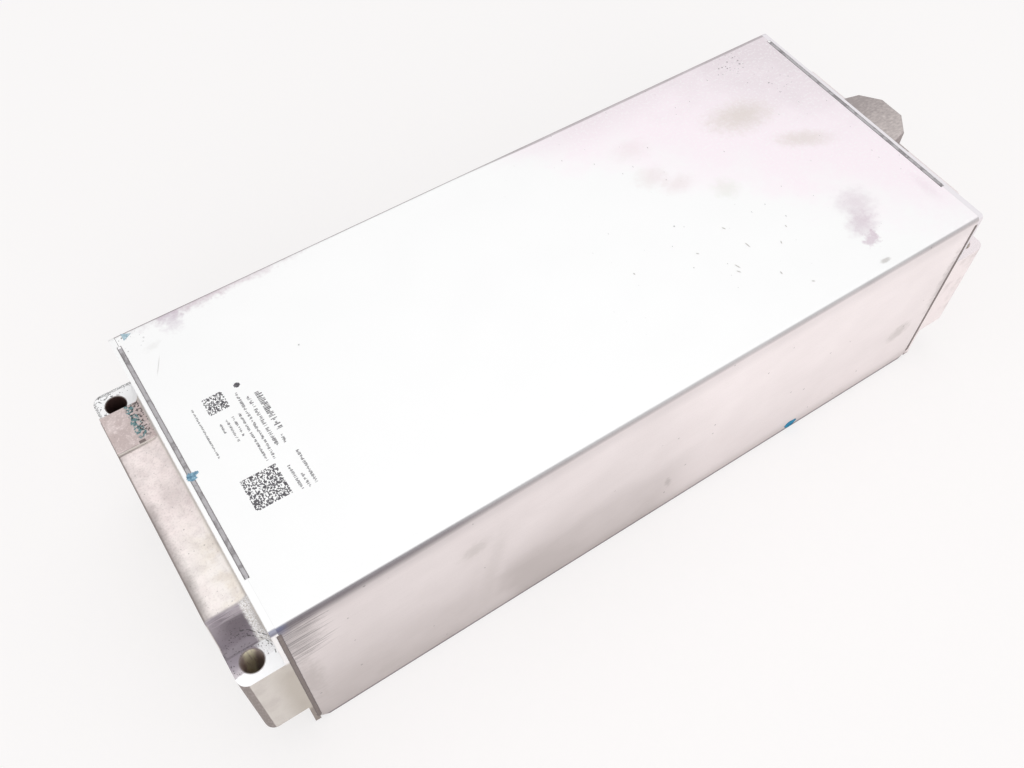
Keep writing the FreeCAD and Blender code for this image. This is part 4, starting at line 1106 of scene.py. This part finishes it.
@dataclass(frozen=True)
class PrintedField:
    """Ink on the top face: two mosaics of small squares and rows of short bars, none of them readable."""

    surface: float
    thickness: float = 0.02
    filled: float = 0.56
    printed: float = 0.86
    gap: float = 0.04
    seed: int = 17

    def build(self) -> None:
        """Lay the ink on the sheet."""
        draw = random.Random(self.seed)
        ink = Draft()
        self._mosaic(ink, draw, (-160.0, -30.0), 14.8, 37)
        self._mosaic(ink, draw, (-157.2, 17.4), 8.6, 25)
        self._disc(ink, (-142.2, 25.2), 1.2)
        for row in (
            (-162.4, 24.0, -1.5, 0.8, 0.5),
            (-155.8, 12.0, 7.0, 0.9, 0.6),
            (-153.0, 12.5, 1.0, 1.0, 0.6),
            (-150.4, 12.5, 2.0, 1.0, 0.6),
            (-147.6, 12.5, -12.5, 1.0, 0.6),
            (-144.8, 22.0, -13.0, 1.2, 0.6),
            (-141.6, 18.0, -8.5, 1.5, 0.7),
            (-138.0, 18.0, -2.0, 2.6, 0.9),
            (-138.2, -5.0, -9.0, 1.2, 0.6),
            (-142.0, -18.5, -30.5, 1.2, 0.6),
            (-139.2, -24.0, -31.0, 1.2, 0.6),
            (-136.2, -14.5, -31.0, 1.2, 0.6),
        ):
            self._row(ink, draw, *row)
        ink.finished("printed_marks", InkFinish("ink").material())

    def _mark(self, ink: Draft, x: Span, y: Span) -> None:
        """Lay one mark of ink."""
        ink.slab(x, y, (self.surface, self.surface + self.thickness))

    def _disc(self, ink: Draft, centre: Span, radius: float) -> None:
        """Lay a disc of five strips."""
        for across in (-1.0, -0.5, 0.0, 0.5, 1.0):
            tall = math.sqrt(radius**2 - across**2)
            x = centre[0] + across
            self._mark(ink, (x - 0.26, x + 0.26), (centre[1] - tall, centre[1] + tall))

    def _mosaic(self, ink: Draft, draw: random.Random, corner: Span, size: float, count: int) -> None:
        """Fill a square, given by its lowest corner, with runs of small squares, so many along a side."""
        cell = size / count
        for row in range(count):
            left = corner[0] + row * cell
            column = 0
            while column < count:
                run = min(draw.choice((1, 1, 1, 2)), count - column)
                if draw.random() < self.filled:
                    low = corner[1] + column * cell
                    high = low + cell * (run - self.gap)
                    self._mark(ink, (left, left + cell * (1 - self.gap)), (low, high))
                column += run

    def _row(
        self, ink: Draft, draw: random.Random, x: float, start: float, end: float, tall: float, step: float
    ) -> None:
        """Lay a row of short bars of uneven width down along Y, with a gap now and then."""
        y = start
        while y > end:
            wide = draw.uniform(0.22, 0.6) * step
            if draw.random() < self.printed:
                low = x + draw.choice((0.0, 0.0, tall * 0.3))
                high = x + tall * draw.choice((1.0, 1.0, 0.65))
                self._mark(ink, (low, high), (y - wide, y))
            y -= wide + draw.uniform(0.18, 0.42) * step


@dataclass(frozen=True)
class PaintDab:
    """A small dab of blue marking paint with a frayed outline."""

    name: str
    centre: Point
    aside: Point
    radii: Span
    seed: int
    spikes: float = 0.08
    low: float = 0.7
    points: int = 36
    spike: float = 1.4
    thickness: float = 0.07
    profile: tuple[Span, ...] = ((1.0, 0.0), (0.93, 0.5), (0.75, 0.85), (0.4, 1.0))

    def build(self, paint: bpy.types.Material) -> None:
        """Lay the dab on its surface.

        Args:
            paint: The paint's material.
        """
        draw = random.Random(self.seed)
        along, aside = Vector((self.radii[0], 0, 0)), Vector(self.aside) * self.radii[1]
        out = along.cross(aside).normalized() * self.thickness
        outline = []
        for i in range(self.points):
            reach = draw.uniform(self.low, 1.0) * (self.spike if draw.random() < self.spikes else 1.0)
            angle = math.tau * i / self.points
            outline.append(along * (reach * math.cos(angle)) + aside * (reach * math.sin(angle)))
        dab = Draft()
        middles = [(Vector(self.centre) + out * rise, share) for share, rise in self.profile]
        dab.rings([[tuple(middle + way * share) for way in outline] for middle, share in middles])
        dab.finished(self.name, paint, smooth=True)


@dataclass(frozen=True)
class PaintWork:
    """Four dabs of blue marking paint, on the top and on the near wall."""

    top: float
    wall: float
    lift: float = 0.04
    grain: float = 0.5
    relief: float = 0.03

    def build(self) -> None:
        """Lay the dabs."""
        light, pale, vivid = (
            GrainedFinish(name, dark, bright, self.grain, self.relief, rough, cloud=cloud).material()
            for name, dark, bright, rough, cloud in (
                ("light_blue_paint", (0.26, 0.42, 0.50), (0.58, 0.72, 0.79), 0.5, 1.2),
                ("pale_blue_paint", (0.06, 0.17, 0.28), (0.34, 0.56, 0.70), 0.5, 1.2),
                ("blue_paint", (0.0, 0.03, 0.16), (0.0, 0.34, 0.52), 0.8, 1.8),
            )
        )
        across, up = (0, 1, 0), (0, 0, 1)
        level = self.top + self.lift
        PaintDab("paint_on_seam", (-174.2, -3.4, level), across, (2.2, 2.1), 3).build(pale)
        PaintDab("paint_beside_seam", (-172.2, -2.6, level), across, (1.5, 0.9), 4).build(pale)
        PaintDab("paint_at_corner", (-170.2, 72.1, level), across, (2.9, 2.7), 8, 0.0, 0.85, 3).build(light)
        PaintDab("paint_on_wall", (93, self.wall, 3.5), up, (4.4, 3.3), 5, 0.0, 0.8, 14).build(vivid)


@dataclass(frozen=True)
class Studio:
    """Camera, floor and soft light, in metres."""

    camera_place: Point = (-0.17733, -0.22331, 0.45737)
    camera_aim: Point = (-0.030365, -0.005219, 0.054)
    camera_roll: float = math.radians(0.695)
    focal_length: float = 36.69
    sensor_width: float = 36.0
    near_clip: float = 0.01
    floor_half: float = 4.0
    floor_level: float = -0.0001
    floor_paint: Colour = (0.97, 0.91, 0.90)
    floor_glow: float = 0.68
    sky: float = 0.60

    def build(self) -> None:
        """Set up the scene round the module."""
        self._camera()
        self._floor()
        self._world()
        self._lamps()
        bpy.context.scene.view_settings.view_transform = "Standard"
        logger.info("studio ready")

    def _aim(self, piece: bpy.types.Object, place: Point, target: Point, roll: float = 0.0) -> None:
        """Place a camera or a lamp and point it at a target, turned about its line of sight."""
        sight = Vector(target) - Vector(place)
        piece.location = place
        piece.rotation_mode = "QUATERNION"
        piece.rotation_quaternion = sight.to_track_quat("-Z", "Y") @ Quaternion((0, 0, 1), roll)

    def _camera(self) -> None:
        """Place the camera where the photograph was taken."""
        lens = bpy.data.cameras.new("camera")
        lens.lens = self.focal_length
        lens.sensor_width = self.sensor_width
        lens.clip_start = self.near_clip
        camera = placed("camera", lens)
        self._aim(camera, self.camera_place, self.camera_aim, self.camera_roll)
        bpy.context.scene.camera = camera

    def _floor(self) -> None:
        """Lay a plain pale floor."""
        mesh = bpy.data.meshes.new("floor")
        corners = ((-1, -1), (1, -1), (1, 1), (-1, 1))
        points = [(x * self.floor_half, y * self.floor_half, self.floor_level) for x, y in corners]
        mesh.from_pydata(points, [], [(0, 1, 2, 3)])
        graph = Graph("floor")
        seen = Value(graph, graph.add("ShaderNodeLightPath").outputs["Is Camera Ray"])
        paint = graph.add("ShaderNodeBsdfDiffuse", inputs={"Color": self.floor_paint})
        glow = graph.add("ShaderNodeEmission", inputs={"Color": WHITE, "Strength": 1.0})
        graph.close("ShaderNodeOutputMaterial", seen * self.floor_glow, paint, glow)
        mesh.materials.append(graph.material)
        floor = placed("floor", mesh)
        floor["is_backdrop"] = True

    def _world(self) -> None:
        """Light from all round, white where the camera or a glossy surface sees it."""
        world = bpy.data.worlds.new("world")
        world.use_nodes = True
        bpy.context.scene.world = world
        nodes = Nodes(world.node_tree)
        rays = nodes.add("ShaderNodeLightPath").outputs
        seen, glossy, through = (
            Value(nodes, rays[kind]) for kind in ("Is Camera Ray", "Is Glossy Ray", "Is Transmission Ray")
        )
        soft = nodes.add("ShaderNodeBackground", inputs={"Color": WHITE, "Strength": self.sky})
        white = nodes.add("ShaderNodeBackground", inputs={"Color": WHITE})
        nodes.close("ShaderNodeOutputWorld", seen.larger(glossy).larger(through), soft, white)

    def _lamps(self) -> None:
        """Hang large soft lamps, of given side and power, that point at the module."""
        lamps = (("key", (0.35, 0.45, 1.7), 1.6, 6.5), ("fill", (-0.6, -1.5, 0.9), 1.5, 14.0))
        for name, place, side, power in lamps:
            light = bpy.data.lights.new(name, "AREA")
            light.size = side
            light.energy = power
            self._aim(placed(name, light), place, (0, 0, 0))


def corners() -> list[list[float]]:
    """The shown object's box as plain lists."""
    return [list(corner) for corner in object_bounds()]


def main() -> None:
    """Load the frame, dress it and add what the solids leave out."""
    logging.basicConfig(level=logging.INFO, format="%(message)s")
    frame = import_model()
    nodes = frame["nodes"]
    Studio().build()
    Case(nodes).build()
    EndPlates(nodes).build()
    SealedParts(nodes).build()
    low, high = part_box("housing_channel")
    PrintedField(high.z / MM).build()
    PaintWork(high.z / MM, low.y / MM).build()


if __name__ == "__main__":
    main()
